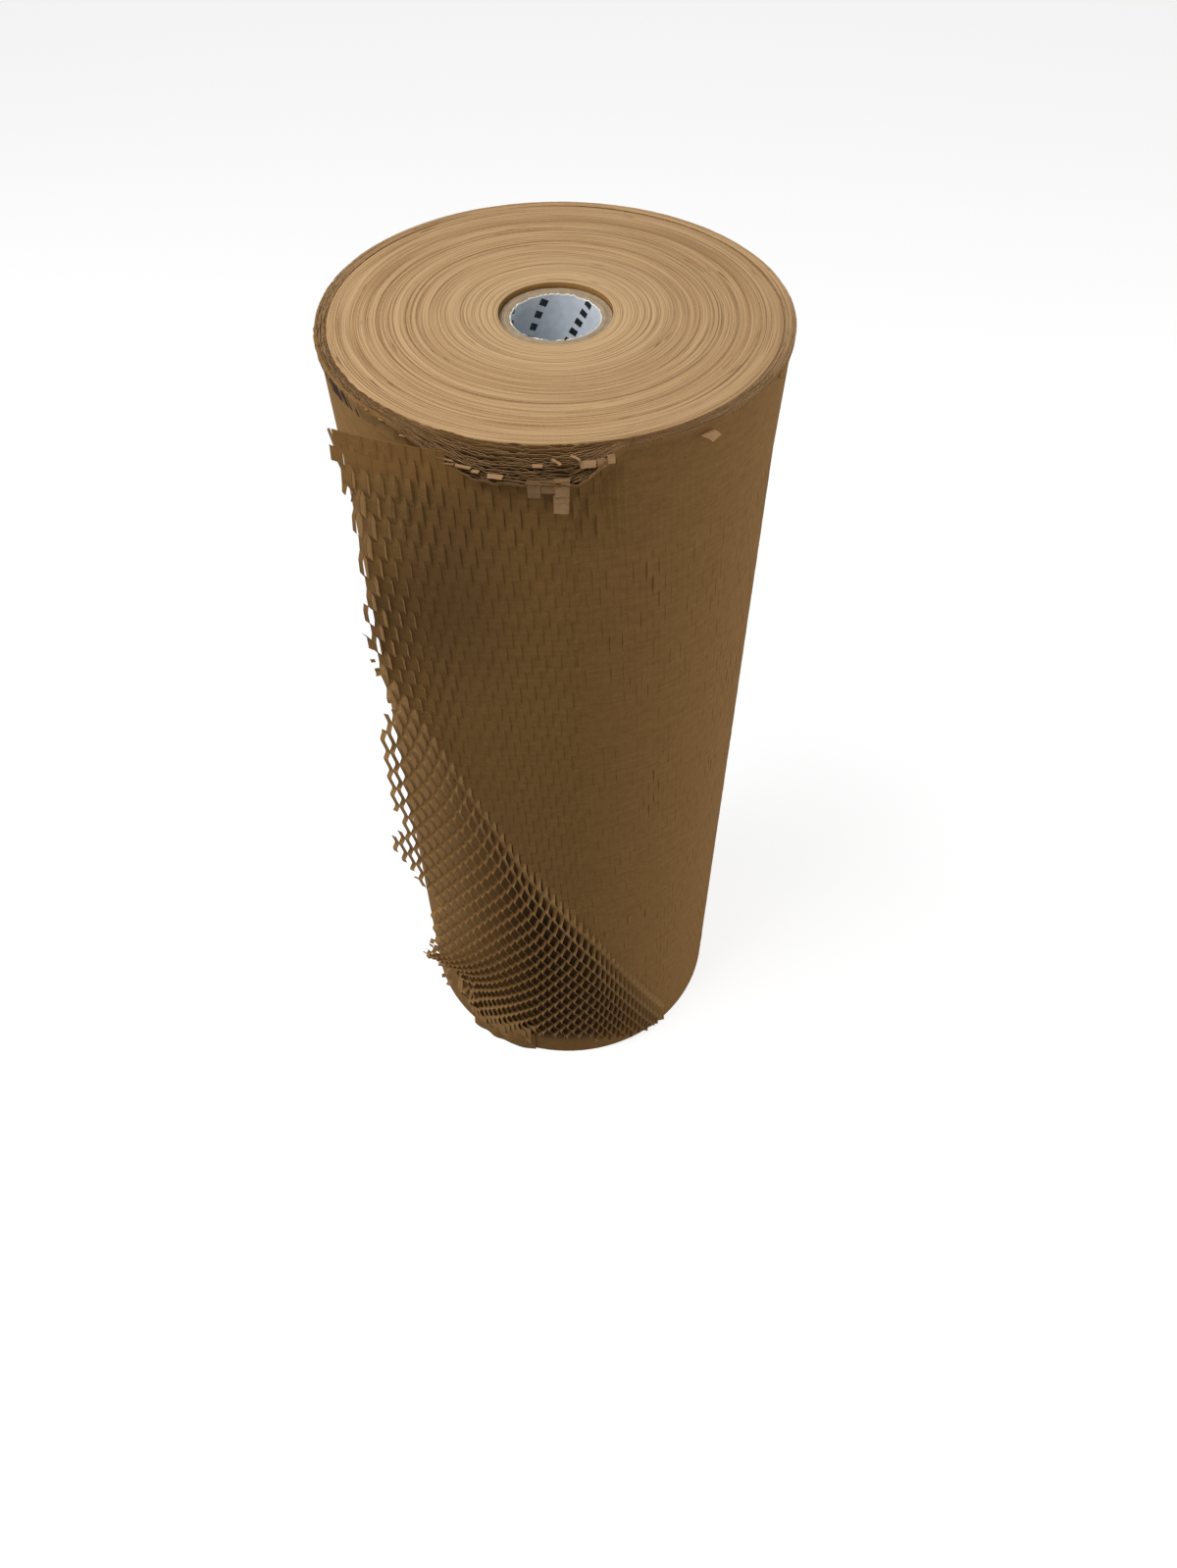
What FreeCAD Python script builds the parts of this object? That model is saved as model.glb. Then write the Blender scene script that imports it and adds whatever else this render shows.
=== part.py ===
import FreeCAD, Part
import math
import os

# A roll of slit kraft packing paper, standing on one end. The web is slit all
# over, so that it opens to a honeycomb net when it is pulled. It is wound on a
# spiral-wound greyboard tube with a printed paper ply inside. The outermost turn
# has come loose: it leaves the roll at the front and hangs flat to the left, and
# its torn end is pulled open to a net below a slanting line. A few turns droop at
# the front of the upper rim.
#
# Frame: +Z up along the roll's axis, the floor at z = 0, the front towards -Y.
# Arc places are measured round the roll's side from the front towards +X.
# All lengths in millimetres, all angles in degrees.

# ---- Driving dimensions: the roll and its core
WEB_WIDTH = 500.0             # width of the paper, so the roll's height on end
ROLL_RADIUS = 100.0           # outside of the tight winding
TUBE_OUTER_RADIUS = 24.75     # outside of the greyboard tube
TUBE_WALL = 4.85              # greyboard thickness
TUBE_RECESS = 4.0             # top end of the tube below the top end of the paper
LINER_WALL = 0.35             # thickness of the printed inner ply
LINER_RECESS = 0.6            # top edge of the ply below the top end of the tube
WIND_SLACK = 0.1              # between the tube and the first turn
GLUE_LINE = 0.05              # between the tube and its inner ply

# ---- The turns that show on both ends
TOP_GROOVES = 5               # low turns in the upper end
FOOT_GROOVES = 2              # low turns in the end that stands on the floor
GROOVE_WIDTH = 2.4
GROOVE_DEPTHS = (1.6, 1.0)    # depth of the low turns, one after the other

# ---- The upper rim, where the last turns are slack
RIM_FLARE = 2.8               # how far the edge of the last turns leans out
RIM_HEIGHT = 20.0             # height over which it leans
LOOSE_TURNS = 2               # slack turns that stand apart
LOOSE_PITCH = 3.4             # spacing of the gaps between them
LOOSE_GAP = 0.9               # width of a gap at its mouth
LOOSE_DEPTH = 6.0             # depth of a gap

# ---- Turns that droop over the front of the rim, and the torn strips under them
DROOP_TURNS = 4
DROOP_PITCH = 1.5             # how much further out each one lies
DROOP_STEP = 2.6              # how much lower each one lies
DROOP_HEIGHT = 9.0
DROOP_CENTRE = -9.0           # angle of the middle of the stack
DROOP_REACH = 26.0            # half angle of the widest one
DROOP_TAPER = 4.5             # half angle lost from each to the next
STRIP_WIDTHS = (27.0, 10.0)   # arc width of the wide and the narrow torn strip
STRIP_LENGTHS = (12.0, 22.0)  # how far they hang below the stack
STRIP_PLACE = 1.0             # arc place of their middle

# ---- The torn end of the outermost turn
COLUMN = 9.0                  # width of one column of the net
PERIOD = 40.0                 # height of one cell of the net
STRAND = 3.2                  # width of a strand between two cells
NODE_HEIGHT = 9.0             # height of the uncut node between two cells
AJAR_WIDTH = 4.0              # width of a cell that is only part open
TAIL_THICKNESS = 2.8          # depth of the opened net
TAIL_SINK = 0.5               # how far it is let into the roll that carries it
NET_FOOT = 64.0               # arc place of the net's right corner, near the floor
LIFT_ANGLE = 3.0              # past this angle to the left the sheet leaves the roll
AJAR_EDGE = 56.0              # left of this place the sheet's slits stand ajar
SHEET_DROP = 12.0             # top of the loose sheet below the top of the roll
HEM_HEIGHT = 26.0             # raised hem in front, above the floor
HEM_SIDE = 8.0                # hem to the right of it, above the floor
HEM_LEFT = 24.0               # place, to the left, where the hem comes down
HEM_RIGHT = 16.0              # place, to the right, where it comes down
TEAR_REACHES = (83.0, 77.0, 81.0, 76.0, 84.0, 83.0, 82.0, 73.0, 79.0, 76.0, 60.0, 37.0)
TEAR_STEP = 40.0              # height of each bite of the torn end, from the top down

# ---- Sizes that follow
HOLE_RADIUS = TUBE_OUTER_RADIUS + WIND_SLACK
TUBE_BORE_RADIUS = TUBE_OUTER_RADIUS - TUBE_WALL
TUBE_TOP = WEB_WIDTH - TUBE_RECESS
LINER_OUTER_RADIUS = TUBE_BORE_RADIUS - GLUE_LINE
LINER_TOP = TUBE_TOP - LINER_RECESS
TAIL_INNER = ROLL_RADIUS - TAIL_SINK
TAIL_OUTER = TAIL_INNER + TAIL_THICKNESS
LIFT_PLACE = -ROLL_RADIUS * math.radians(LIFT_ANGLE)
SHEET_TOP = WEB_WIDTH - SHEET_DROP
FULL_TURN = 360.0
UP = FreeCAD.Vector(0, 0, 1)
AXIS_FOOT = FreeCAD.Vector(0, 0, 0)


def angle_at(place):
    """Angle round the roll of an arc place."""
    return math.degrees(place / ROLL_RADIUS)


def profile_face(points):
    """Face in the plane through the axis and the front, from (radius, height) points."""
    corners = [FreeCAD.Vector(0, -radius, height) for radius, height in points]
    return Part.Face(Part.makePolygon(corners + corners[:1]))


def ring_sector(inner, outer, low, high, start, sweep):
    """Upright piece of a ring, from one angle through a sweep."""
    face = profile_face([(inner, low), (outer, low), (outer, high), (inner, high)])
    face.rotate(AXIS_FOOT, UP, start)
    return face.revolve(AXIS_FOOT, UP, sweep)


def tube(inner, outer, high):
    """Tube that stands on the floor round the axis."""
    return ring_sector(inner, outer, 0.0, high, 0.0, FULL_TURN)


# ---- The wound roll

def turn_grooves(count, outer, plane, inwards):
    """Points across one end, from the hole outwards: flat lands with V grooves between."""
    pitch = (outer - HOLE_RADIUS) / (count + 1)
    points = []
    for number in range(1, count + 1):
        middle = HOLE_RADIUS + number * pitch
        depth = GROOVE_DEPTHS[number % len(GROOVE_DEPTHS)]
        points.append((middle - GROOVE_WIDTH / 2, plane))
        points.append((middle, plane + inwards * depth))
        points.append((middle + GROOVE_WIDTH / 2, plane))
    return points


def loose_gaps(outer):
    """Points of the gaps between the slack turns at the upper rim, from the inside out."""
    points = []
    for number in range(LOOSE_TURNS, 0, -1):
        middle = outer - number * LOOSE_PITCH
        points.append((middle - LOOSE_GAP / 2, WEB_WIDTH))
        points.append((middle, WEB_WIDTH - LOOSE_DEPTH))
        points.append((middle + LOOSE_GAP / 2, WEB_WIDTH))
    return points


def wound_roll():
    """The turns as one ring, with grooved ends, a flared upper rim and its slack turns."""
    rim_radius = ROLL_RADIUS + RIM_FLARE
    slack_from = rim_radius - (LOOSE_TURNS + 1) * LOOSE_PITCH
    foot = turn_grooves(FOOT_GROOVES, ROLL_RADIUS, 0.0, 1.0)
    top = turn_grooves(TOP_GROOVES, slack_from, WEB_WIDTH, -1.0) + loose_gaps(rim_radius)
    outline = [(HOLE_RADIUS, 0.0)] + foot
    outline += [(ROLL_RADIUS, 0.0), (ROLL_RADIUS, WEB_WIDTH - RIM_HEIGHT)]
    outline += [(rim_radius, WEB_WIDTH)] + top[::-1] + [(HOLE_RADIUS, WEB_WIDTH)]
    return profile_face(outline).revolve(AXIS_FOOT, UP, FULL_TURN)


def drooping_turns():
    """Slack turns that have slid down over the front of the rim, one outside the other."""
    pieces = []
    for number in range(DROOP_TURNS):
        inner = ROLL_RADIUS + number * DROOP_PITCH - TAIL_SINK
        outer = ROLL_RADIUS + (number + 1) * DROOP_PITCH
        high = WEB_WIDTH - (number + 1) * DROOP_STEP
        reach = DROOP_REACH - number * DROOP_TAPER
        pieces.append(ring_sector(inner, outer, high - DROOP_HEIGHT, high,
                                  DROOP_CENTRE - reach, 2 * reach))
    return pieces


def hanging_strips():
    """Torn strips that hang from the outermost drooping turn."""
    outer = ROLL_RADIUS + DROOP_TURNS * DROOP_PITCH
    inner = outer - DROOP_PITCH
    high = WEB_WIDTH - DROOP_TURNS * DROOP_STEP - DROOP_HEIGHT / 2
    pieces = []
    for width, length in zip(STRIP_WIDTHS, STRIP_LENGTHS):
        low = high - DROOP_HEIGHT / 2 - length
        start = angle_at(STRIP_PLACE - width / 2)
        pieces.append(ring_sector(inner, outer, low, high, start, angle_at(width)))
    return pieces


# ---- The torn end of the outermost turn

def set_on_path(shape, place, height):
    """Put a shape drawn at the front, on the roll's surface, at a place of the sheet."""
    turn = angle_at(max(place, LIFT_PLACE))
    beyond = min(place - LIFT_PLACE, 0.0)
    shape.translate(FreeCAD.Vector(beyond, 0, height))
    shape.rotate(AXIS_FOOT, UP, turn)
    return shape


def stair_top(column):
    """Height of the edge of the opened net: one half cell for each column."""
    return HEM_SIDE + (column + 1) * PERIOD / 2


def hem_height(place):
    """Height of the lower hem: raised in front, down on the floor to the left."""
    if place > HEM_RIGHT:
        return HEM_SIDE
    if place > -HEM_LEFT:
        return HEM_HEIGHT
    return 0.0


def tear_reach(height):
    """How far past the lift-off the sheet reaches before its torn end, at a height."""
    bite = int((SHEET_TOP - height) / TEAR_STEP)
    return TEAR_REACHES[min(max(bite, 0), len(TEAR_REACHES) - 1)]


def column_places():
    """Right sides of the columns, from the net's right corner to the lift-off."""
    count = math.ceil((NET_FOOT - LIFT_PLACE) / COLUMN)
    return [NET_FOOT - number * COLUMN for number in range(count)]


def carried_columns():
    """The part of the sheet that lies on the roll, one ring sector for each column."""
    pieces = []
    for number, right in enumerate(column_places()):
        left = max(right - COLUMN, LIFT_PLACE)
        pieces.append(ring_sector(TAIL_INNER, TAIL_OUTER, hem_height(left), stair_top(number),
                                  angle_at(left), angle_at(right - left)))
    return pieces


def free_box(start, reach, low, high):
    """Flat piece of the part that stands off the roll, from a place to the left."""
    box = Part.makeBox(reach, TAIL_THICKNESS, high - low)
    box.translate(FreeCAD.Vector(start - LIFT_PLACE - reach, -TAIL_OUTER, low))
    return set_on_path(box, LIFT_PLACE, 0.0)


def free_bites():
    """The part that stands off the roll: flat bites, one under the other."""
    pieces = []
    high = SHEET_TOP
    while high > 0.0:
        low = max(high - TEAR_STEP, 0.0)
        pieces.append(free_box(LIFT_PLACE, tear_reach((low + high) / 2), low, high))
        high = low
    return pieces


def hem_notch():
    """Cutter for the raised hem, as far as the sheet stands off the roll."""
    return free_box(LIFT_PLACE, HEM_LEFT + LIFT_PLACE, 0.0, HEM_HEIGHT)


def diamond(place, height, width):
    """Cutter for one open cell, through the sheet and not into the roll below it."""
    half_width = width / 2
    half_height = (PERIOD - NODE_HEIGHT) / 2
    depth = -TAIL_INNER - TAIL_THICKNESS - RIM_FLARE
    corners = [FreeCAD.Vector(half_width, depth, 0), FreeCAD.Vector(0, depth, half_height),
               FreeCAD.Vector(-half_width, depth, 0), FreeCAD.Vector(0, depth, -half_height)]
    face = Part.Face(Part.makePolygon(corners + corners[:1]))
    cutter = face.extrude(FreeCAD.Vector(0, TAIL_THICKNESS + 2 * RIM_FLARE, 0))
    return set_on_path(cutter, place, height)


def column_cells(number):
    """Place, height and width of the cells of one column, from the hem to its top edge."""
    place = NET_FOOT - number * COLUMN
    opened = stair_top(number - 1)
    ceiling = SHEET_TOP if place < -AJAR_EDGE else opened
    reach = PERIOD / 2 - NODE_HEIGHT / 2
    height = HEM_SIDE + PERIOD / 2 * (1 + number % 2)
    cells = []
    while height + reach + NODE_HEIGHT <= ceiling:
        within = place > LIFT_PLACE - tear_reach(height)
        if within and height - reach >= hem_height(place):
            wide = height + reach + NODE_HEIGHT <= opened
            cells.append((place, height, 2 * (COLUMN - STRAND) if wide else AJAR_WIDTH))
        height += PERIOD
    return cells


def net_cells():
    """Every cell of the net: the columns are one apart, and in turn half a cell up."""
    furthest = LIFT_PLACE - max(TEAR_REACHES)
    count = int((NET_FOOT - furthest) / COLUMN) + 1
    return [cell for number in range(1, count) for cell in column_cells(number)]


def loose_end():
    """The torn end of the outermost turn, with its open cells cut out."""
    pieces = carried_columns() + free_bites()
    sheet = pieces[0].multiFuse(pieces[1:])
    cutters = [hem_notch()] + [diamond(*cell) for cell in net_cells()]
    return sheet.cut(cutters).removeSplitter()


# ---- The nodes

def paper_web():
    """The whole web: the wound turns, the drooping ones and the torn end, one sheet."""
    slack = drooping_turns() + hanging_strips()
    return wound_roll().multiFuse([loose_end()] + slack)


def core_tube():
    """Greyboard tube that the web is wound on."""
    return tube(TUBE_BORE_RADIUS, TUBE_OUTER_RADIUS, TUBE_TOP)


def core_liner():
    """Printed paper ply glued inside the tube."""
    return tube(LINER_OUTER_RADIUS - LINER_WALL, LINER_OUTER_RADIUS, LINER_TOP)


def write(name, shape):
    """Write one node as a STEP file, as a plain solid."""
    solid = shape.Solids[0] if len(shape.Solids) == 1 else shape
    solid.exportStep(os.path.join("parts", name + ".step"))
    print(name, "solids", len(shape.Solids), "valid", shape.isValid(),
          "volume", round(shape.Volume), "faces", len(shape.Faces))


os.makedirs("parts", exist_ok=True)
write("paper_web", paper_web())
write("core_tube", core_tube())
write("core_liner", core_liner())
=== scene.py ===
"""Looks of a roll of slit kraft packing paper that stands on one end.

The web is wound on a greyboard tube with a printed ply inside. Its outermost turn
hangs loose at the front left and is pulled open to a net below a slanting line, and
a stack of slack turns droops over the front of the upper rim.

Frame: Z up along the roll's axis, the floor at z = 0, the front towards -Y. A place
round the roll is an arc length in millimetres from the front towards +X. Shapes are
worked out in millimetres and go into the meshes in metres. A field of two numbers
that smooth() reads is a span: the step goes from 0 at the first to 1 at the second.
"""
import logging
import math
from dataclasses import astuple, dataclass, field
from enum import Enum, IntEnum

import bpy
import numpy as np
from mathutils import Matrix, Vector


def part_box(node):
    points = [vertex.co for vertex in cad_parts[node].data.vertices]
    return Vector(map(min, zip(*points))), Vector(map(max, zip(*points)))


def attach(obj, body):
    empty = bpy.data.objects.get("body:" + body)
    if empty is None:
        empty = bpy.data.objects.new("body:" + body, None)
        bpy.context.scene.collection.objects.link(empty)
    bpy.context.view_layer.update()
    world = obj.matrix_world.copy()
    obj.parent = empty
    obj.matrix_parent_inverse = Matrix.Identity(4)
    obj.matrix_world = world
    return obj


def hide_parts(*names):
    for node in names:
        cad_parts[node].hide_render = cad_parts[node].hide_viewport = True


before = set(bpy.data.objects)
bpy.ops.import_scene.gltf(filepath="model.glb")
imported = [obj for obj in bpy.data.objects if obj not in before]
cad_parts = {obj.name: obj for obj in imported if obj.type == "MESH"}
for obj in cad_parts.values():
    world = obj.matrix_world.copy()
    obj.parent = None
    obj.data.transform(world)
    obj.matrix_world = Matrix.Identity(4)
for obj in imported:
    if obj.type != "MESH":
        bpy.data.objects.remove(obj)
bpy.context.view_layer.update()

LOG = logging.getLogger("paper_roll")
MM = 0.001
BODY = "root"
PAPER_IOR = 1.5
IN_COLOUR = {"data_type": "RGBA"}
WHITE = (1.0, 1.0, 1.0, 1.0)


class Slot(Enum):
    """Names of three material slots; nothing below uses them."""

    KRAFT = "kraft_paper"
    BOARD = "greyboard"
    PLY = "printed_ply"


class Finish(Enum):
    """Finishes that the pieces are dressed in."""

    FACE = "flat of the web"
    EDGES = "edges of the wound turns"
    TORN = "torn strips"
    BOARD = "greyboard"
    PLY = "printed ply"
    TORN_PLY = "torn edge of the ply"


class Seed(IntEnum):
    """Seeds of the random curves and fields."""

    RING_FINE = 11
    RING_MEDIUM = 12
    RING_WIDE = 13
    FOOT_RINGS = 21
    SLIT_TILT = 31
    SLIT_PATCHES = 32
    SLIT_ROUGHNESS = 33
    SHEET_AJAR = 41
    TORN_EDGE = 42
    CRUMPLE = 43
    PRESSED_HEM = 44
    HEM_EDGE = 45
    HEM_WAVES = 46
    RIM_STEPS = 52
    RIM_WAVES = 53
    RIM_DRIFT = 54
    RIM_NICKS = 55
    RIM_FRAY = 56
    TUBE_PLIES = 61
    TUBE_GRAIN = 62
    LINER_EDGE = 63


# ---- Number work on whole arrays

def eased(t: np.ndarray) -> np.ndarray:
    """Smooth step of a ratio from 0 to 1: 3t^2 - 2t^3."""
    return t * t * (3.0 - 2.0 * t)


def smooth(value: np.ndarray, start: float, end: float) -> np.ndarray:
    """Smooth step from 0 at start to 1 at end, which may be the lower of the two."""
    return eased(np.clip((value - start) / (end - start), 0.0, 1.0))


def bell(value: np.ndarray, middle: float, width: float) -> np.ndarray:
    """Bell curve, 1 at its middle and 1/e at its width from there: exp(-t^2)."""
    return np.exp(-((value - middle) / width) ** 2)


def wander(x: np.ndarray, seed: Seed, wrap: int = 4096) -> np.ndarray:
    """Smooth random curve between -1 and 1 with one knot for each unit of x.

    Args:
        x: places on the curve.
        seed: seed of the knots' values.
        wrap: number of knots before the curve repeats.

    Returns:
        Knot values blended with the smooth step of the fraction.
    """
    knots = np.random.default_rng(seed).uniform(-1.0, 1.0, wrap)
    whole = np.floor(x).astype(int)
    t = eased(x - whole)
    return knots[whole % wrap] * (1.0 - t) + knots[(whole + 1) % wrap] * t


def wander2(x: np.ndarray, y: np.ndarray, seed: Seed, wrap_x: int = 512,
            wrap_y: int = 512) -> np.ndarray:
    """Smooth random field between -1 and 1: knots on a unit grid, blended both ways.

    Args:
        x: first place, repeats after wrap_x.
        y: second place, repeats after wrap_y.
        seed: seed of the knots' values.
        wrap_x: knots along x.
        wrap_y: knots along y.

    Returns:
        The blended knot values.
    """
    knots = np.random.default_rng(seed).uniform(-1.0, 1.0, (wrap_x, wrap_y))
    i, j = np.floor(x).astype(int), np.floor(y).astype(int)
    s, t = eased(x - i), eased(y - j)
    i0, i1, j0, j1 = i % wrap_x, (i + 1) % wrap_x, j % wrap_y, (j + 1) % wrap_y
    low = knots[i0, j0] * (1.0 - s) + knots[i1, j0] * s
    high = knots[i0, j1] * (1.0 - s) + knots[i1, j1] * s
    return low * (1.0 - t) + high * t


def round_angles(count: int) -> np.ndarray:
    """Even angles once round the axis from the back, in radians, as a column."""
    return np.linspace(-np.pi, np.pi, count, endpoint=False)[:, None]


def grid_quads(rows: int, columns: int, wrap_rows: bool = False,
               wrap_columns: bool = False) -> np.ndarray:
    """Quads of a grid of points numbered row by row.

    Args:
        rows: number of rows of points.
        columns: number of points in a row.
        wrap_rows: whether the last row joins the first.
        wrap_columns: whether the last column joins the first.

    Returns:
        Array (quads, 4) of point numbers.
    """
    i = np.arange(rows if wrap_rows else rows - 1)
    j = np.arange(columns if wrap_columns else columns - 1)
    i, j = np.meshgrid(i, j, indexing="ij")
    up, on = (i + 1) % rows, (j + 1) % columns
    quads = np.stack([i * columns + j, i * columns + on, up * columns + on, up * columns + j], -1)
    return quads.reshape(-1, 4)


def repeated_quads(count: int, one: np.ndarray, points: int) -> np.ndarray:
    """Quads of a shape that is repeated count times, each with its own run of points."""
    return (one[None] + np.arange(count)[:, None, None] * points).reshape(-1, 4)


def polar(angle: np.ndarray, radius: np.ndarray, height: np.ndarray) -> np.ndarray:
    """Points at angles (radians) from the front towards +X, radii and heights."""
    angle, radius, height = np.broadcast_arrays(angle, radius, height)
    return np.stack([radius * np.sin(angle), -radius * np.cos(angle), height], -1)


# ---- Meshes

def make_piece(name: str, points: np.ndarray, quads: np.ndarray,
               materials: list, which: np.ndarray = None, nodes: tuple = (),
               is_smooth: bool = True) -> bpy.types.Object:
    """Put points and quads into a mesh object that rides on the roll.

    Args:
        name: the piece's name.
        points: array (..., 3), millimetres.
        quads: array (m, 4) of point numbers.
        materials: the piece's materials.
        which: material number of each quad.
        nodes: names of the CAD nodes that the piece stands for.
        is_smooth: whether its faces are shaded smooth.

    Returns:
        The new object.
    """
    mesh = bpy.data.meshes.new(name)
    mesh.vertices.add(points.size // 3)
    mesh.vertices.foreach_set("co", (points * MM).astype(np.float32).ravel())
    mesh.loops.add(quads.size)
    mesh.loops.foreach_set("vertex_index", quads.astype(np.int32).ravel())
    mesh.polygons.add(len(quads))
    mesh.polygons.foreach_set("loop_start", np.arange(0, quads.size, 4, dtype=np.int32))
    if which is not None:
        mesh.polygons.foreach_set("material_index", which.astype(np.int32))
    mesh.update(calc_edges=True)
    mesh.validate()
    mesh.shade_smooth() if is_smooth else mesh.shade_flat()
    for material in materials:
        mesh.materials.append(material)
    piece = bpy.data.objects.new(name, mesh)
    bpy.context.scene.collection.objects.link(piece)
    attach(piece, BODY)
    if nodes:
        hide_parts(*nodes)
    return piece


def drop_loose_points(points: np.ndarray, quads: np.ndarray) -> tuple:
    """Keep only the points that a quad uses, and number them anew.

    Args:
        points: array (n, 3).
        quads: array (m, 4) of point numbers.

    Returns:
        The kept points, the quads with new numbers, and the old numbers kept.
    """
    used, inverse = np.unique(quads.ravel(), return_inverse=True)
    return points[used], inverse.reshape(quads.shape), used


def set_values(piece: bpy.types.Object, name: str, values: np.ndarray) -> None:
    """Store one number for each point as an attribute of the mesh."""
    layer = piece.data.attributes.new(name, "FLOAT", "POINT")
    layer.data.foreach_set("value", values.astype(np.float32).ravel())


def thicken(piece: bpy.types.Object, thickness: float) -> None:
    """Give a sheet its paper thickness, half to each side.

    Args:
        piece: the sheet.
        thickness: in millimetres.
    """
    solid = piece.modifiers.new("paper_thickness", "SOLIDIFY")
    solid.thickness = thickness * MM
    solid.offset = 0.0


# ---- Finishes

@dataclass(frozen=True)
class Grain:
    """A noise: its size across and along in mm, its octaves, how rough they are."""

    across: float
    along: float
    detail: float
    roughness: float = 0.5


@dataclass(frozen=True)
class Cover:
    """How a pattern lays on a colour: its values where the cover is least and most."""

    start: float
    end: float
    most: float
    least: float = 0.0

    def limits(self) -> dict:
        """Inputs of the node that carries the pattern into the shares, by number."""
        return {"i1": self.start, "i2": self.end, "i3": self.least, "i4": self.most}


def linear(code: str) -> tuple:
    """Linear RGBA of an sRGB colour, by the sRGB curve.

    Args:
        code: hex code such as 8a6a42.

    Returns:
        Red, green, blue and 1.
    """
    parts = [int(code[k:k + 2], 16) / 255.0 for k in (0, 2, 4)]
    bent = [c / 12.92 if c <= 0.04045 else ((c + 0.055) / 1.055) ** 2.4 for c in parts]
    return (*bent, 1.0)


def add(tree: bpy.types.NodeTree, kind: str, settings: dict = None, **inputs) -> bpy.types.Node:
    """Add a node with its settings and its inputs.

    Args:
        tree: the material's node tree.
        kind: the node's type without the ShaderNode prefix.
        settings: attributes of the node.
        inputs: value or output socket for each input, by name with _ for a space,
            or by number as i0, i1 and so on.

    Returns:
        The node.
    """
    node = tree.nodes.new("ShaderNode" + kind)
    for key, value in (settings or {}).items():
        setattr(node, key, value)
    for key, value in inputs.items():
        number = key[1:] if key[0] == "i" and key[1:].isdigit() else None
        socket = node.inputs[int(number)] if number else node.inputs[key.replace("_", " ")]
        if isinstance(value, bpy.types.NodeSocket):
            tree.links.new(value, socket)
        else:
            socket.default_value = value
    return node


def lay(tree: bpy.types.NodeTree, ground: tuple, code: str, pattern: bpy.types.NodeSocket,
        cover: Cover) -> bpy.types.NodeSocket:
    """Lay a colour over a ground where a pattern says.

    Args:
        tree: the material's node tree.
        ground: the colour below, RGBA or an output socket.
        code: sRGB hex code of the colour laid on.
        pattern: output socket of the pattern.
        cover: how the pattern lays it on.

    Returns:
        Output socket of the new colour.
    """
    share = add(tree, "MapRange", i0=pattern, **cover.limits()).outputs[0]
    return add(tree, "Mix", IN_COLOUR, i0=share, i6=ground, i7=linear(code)).outputs[2]


def mottle(tree: bpy.types.NodeTree, grain: Grain) -> bpy.types.NodeSocket:
    """Noise in the piece's own space, across mm sideways and along mm up.

    Args:
        tree: the material's node tree.
        grain: size of the noise.

    Returns:
        Output socket of the noise.
    """
    place = add(tree, "TexCoord").outputs["Object"]
    scale = [1.0 / (size * MM) for size in (grain.across, grain.across, grain.along)]
    vector = add(tree, "Mapping", Vector=place, Scale=scale).outputs[0]
    return add(tree, "TexNoise", Vector=vector, Scale=1.0, Detail=grain.detail,
               Roughness=grain.roughness).outputs[0]


def new_material(name: str) -> tuple:
    """Make a material with an empty tree.

    Args:
        name: the material's name.

    Returns:
        The material, its tree and its output node.
    """
    material = bpy.data.materials.new(name)
    material.use_nodes = True
    tree = material.node_tree
    tree.nodes.clear()
    return material, tree, add(tree, "OutputMaterial")


@dataclass(frozen=True)
class KraftFace:
    """Unbleached kraft paper off a paper machine, the flat of the web.

    It gives the eye a dull brown with short fibre flecks, faint cloudy formation and
    fine bands round the roll from the slitting rollers. A fibre is 0.03 mm wide: the
    flecks are drawn as coarse as tufts of fibres. Attributes of the mesh paint light
    and shade into it: painted golden light where light comes through it, painted shade
    in hollows and gaps, and a painted highlight on lips that catch the light.
    """

    name: str = "kraft_paper_web_face"
    base: str = "846032"
    dark: str = "735129"
    light: str = "95723f"
    # colour of the painted light that comes through the paper
    through: str = "7c5423"
    # colour of the painted shade in hollows and gaps
    painted_shade: str = "1f0e03"
    # colour of the painted highlight on lips that catch the light
    painted_highlight: str = "ad8655"
    roughness: float = 0.86
    sheen: float = 0.25
    fleck: Grain = Grain(0.8, 0.56, 4.0, 0.7)
    cloud: Grain = Grain(5.0, 3.5, 3.0, 0.6)
    band: Grain = Grain(22.0, 1.5, 2.0, 0.6)
    cloud_cover: Cover = Cover(0.3, 0.65, 1.0, 0.3)
    band_cover: Cover = Cover(0.4, 0.7, 0.3)
    light_flecks: Cover = Cover(0.5, 0.72, 0.6)
    dark_flecks: Cover = Cover(0.46, 0.28, 0.6)
    relief: float = 0.35
    lift: float = 0.05

    def build(self) -> bpy.types.Material:
        """Make the material.

        Returns:
            The material.
        """
        material, tree, out = new_material(self.name)
        flecks, clouds, bands = (mottle(tree, g) for g in (self.fleck, self.cloud, self.band))
        colour = linear(self.dark)
        for code, pattern, cover in ((self.base, clouds, self.cloud_cover),
                                     (self.light, bands, self.band_cover),
                                     (self.light, flecks, self.light_flecks),
                                     (self.dark, flecks, self.dark_flecks)):
            colour = lay(tree, colour, code, pattern, cover)
        # painted light through the paper, painted shade and painted highlight, each laid on as far
        # as its attribute says
        for name, code in (("light_through", self.through), ("painted_shade", self.painted_shade),
                           ("painted_highlight", self.painted_highlight)):
            share = add(tree, "Attribute", {"attribute_name": name}).outputs["Fac"]
            colour = add(tree, "Mix", IN_COLOUR, i0=share, i6=colour,
                         i7=linear(code)).outputs[2]
        bump = add(tree, "Bump", Height=flecks, Strength=self.relief, Distance=self.lift * MM)
        skin = add(tree, "BsdfPrincipled", Base_Color=colour, Roughness=self.roughness,
                   IOR=PAPER_IOR, Normal=bump.outputs[0], Specular_IOR_Level=self.sheen)
        tree.links.new(skin.outputs[0], out.inputs[0])
        return material


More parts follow.
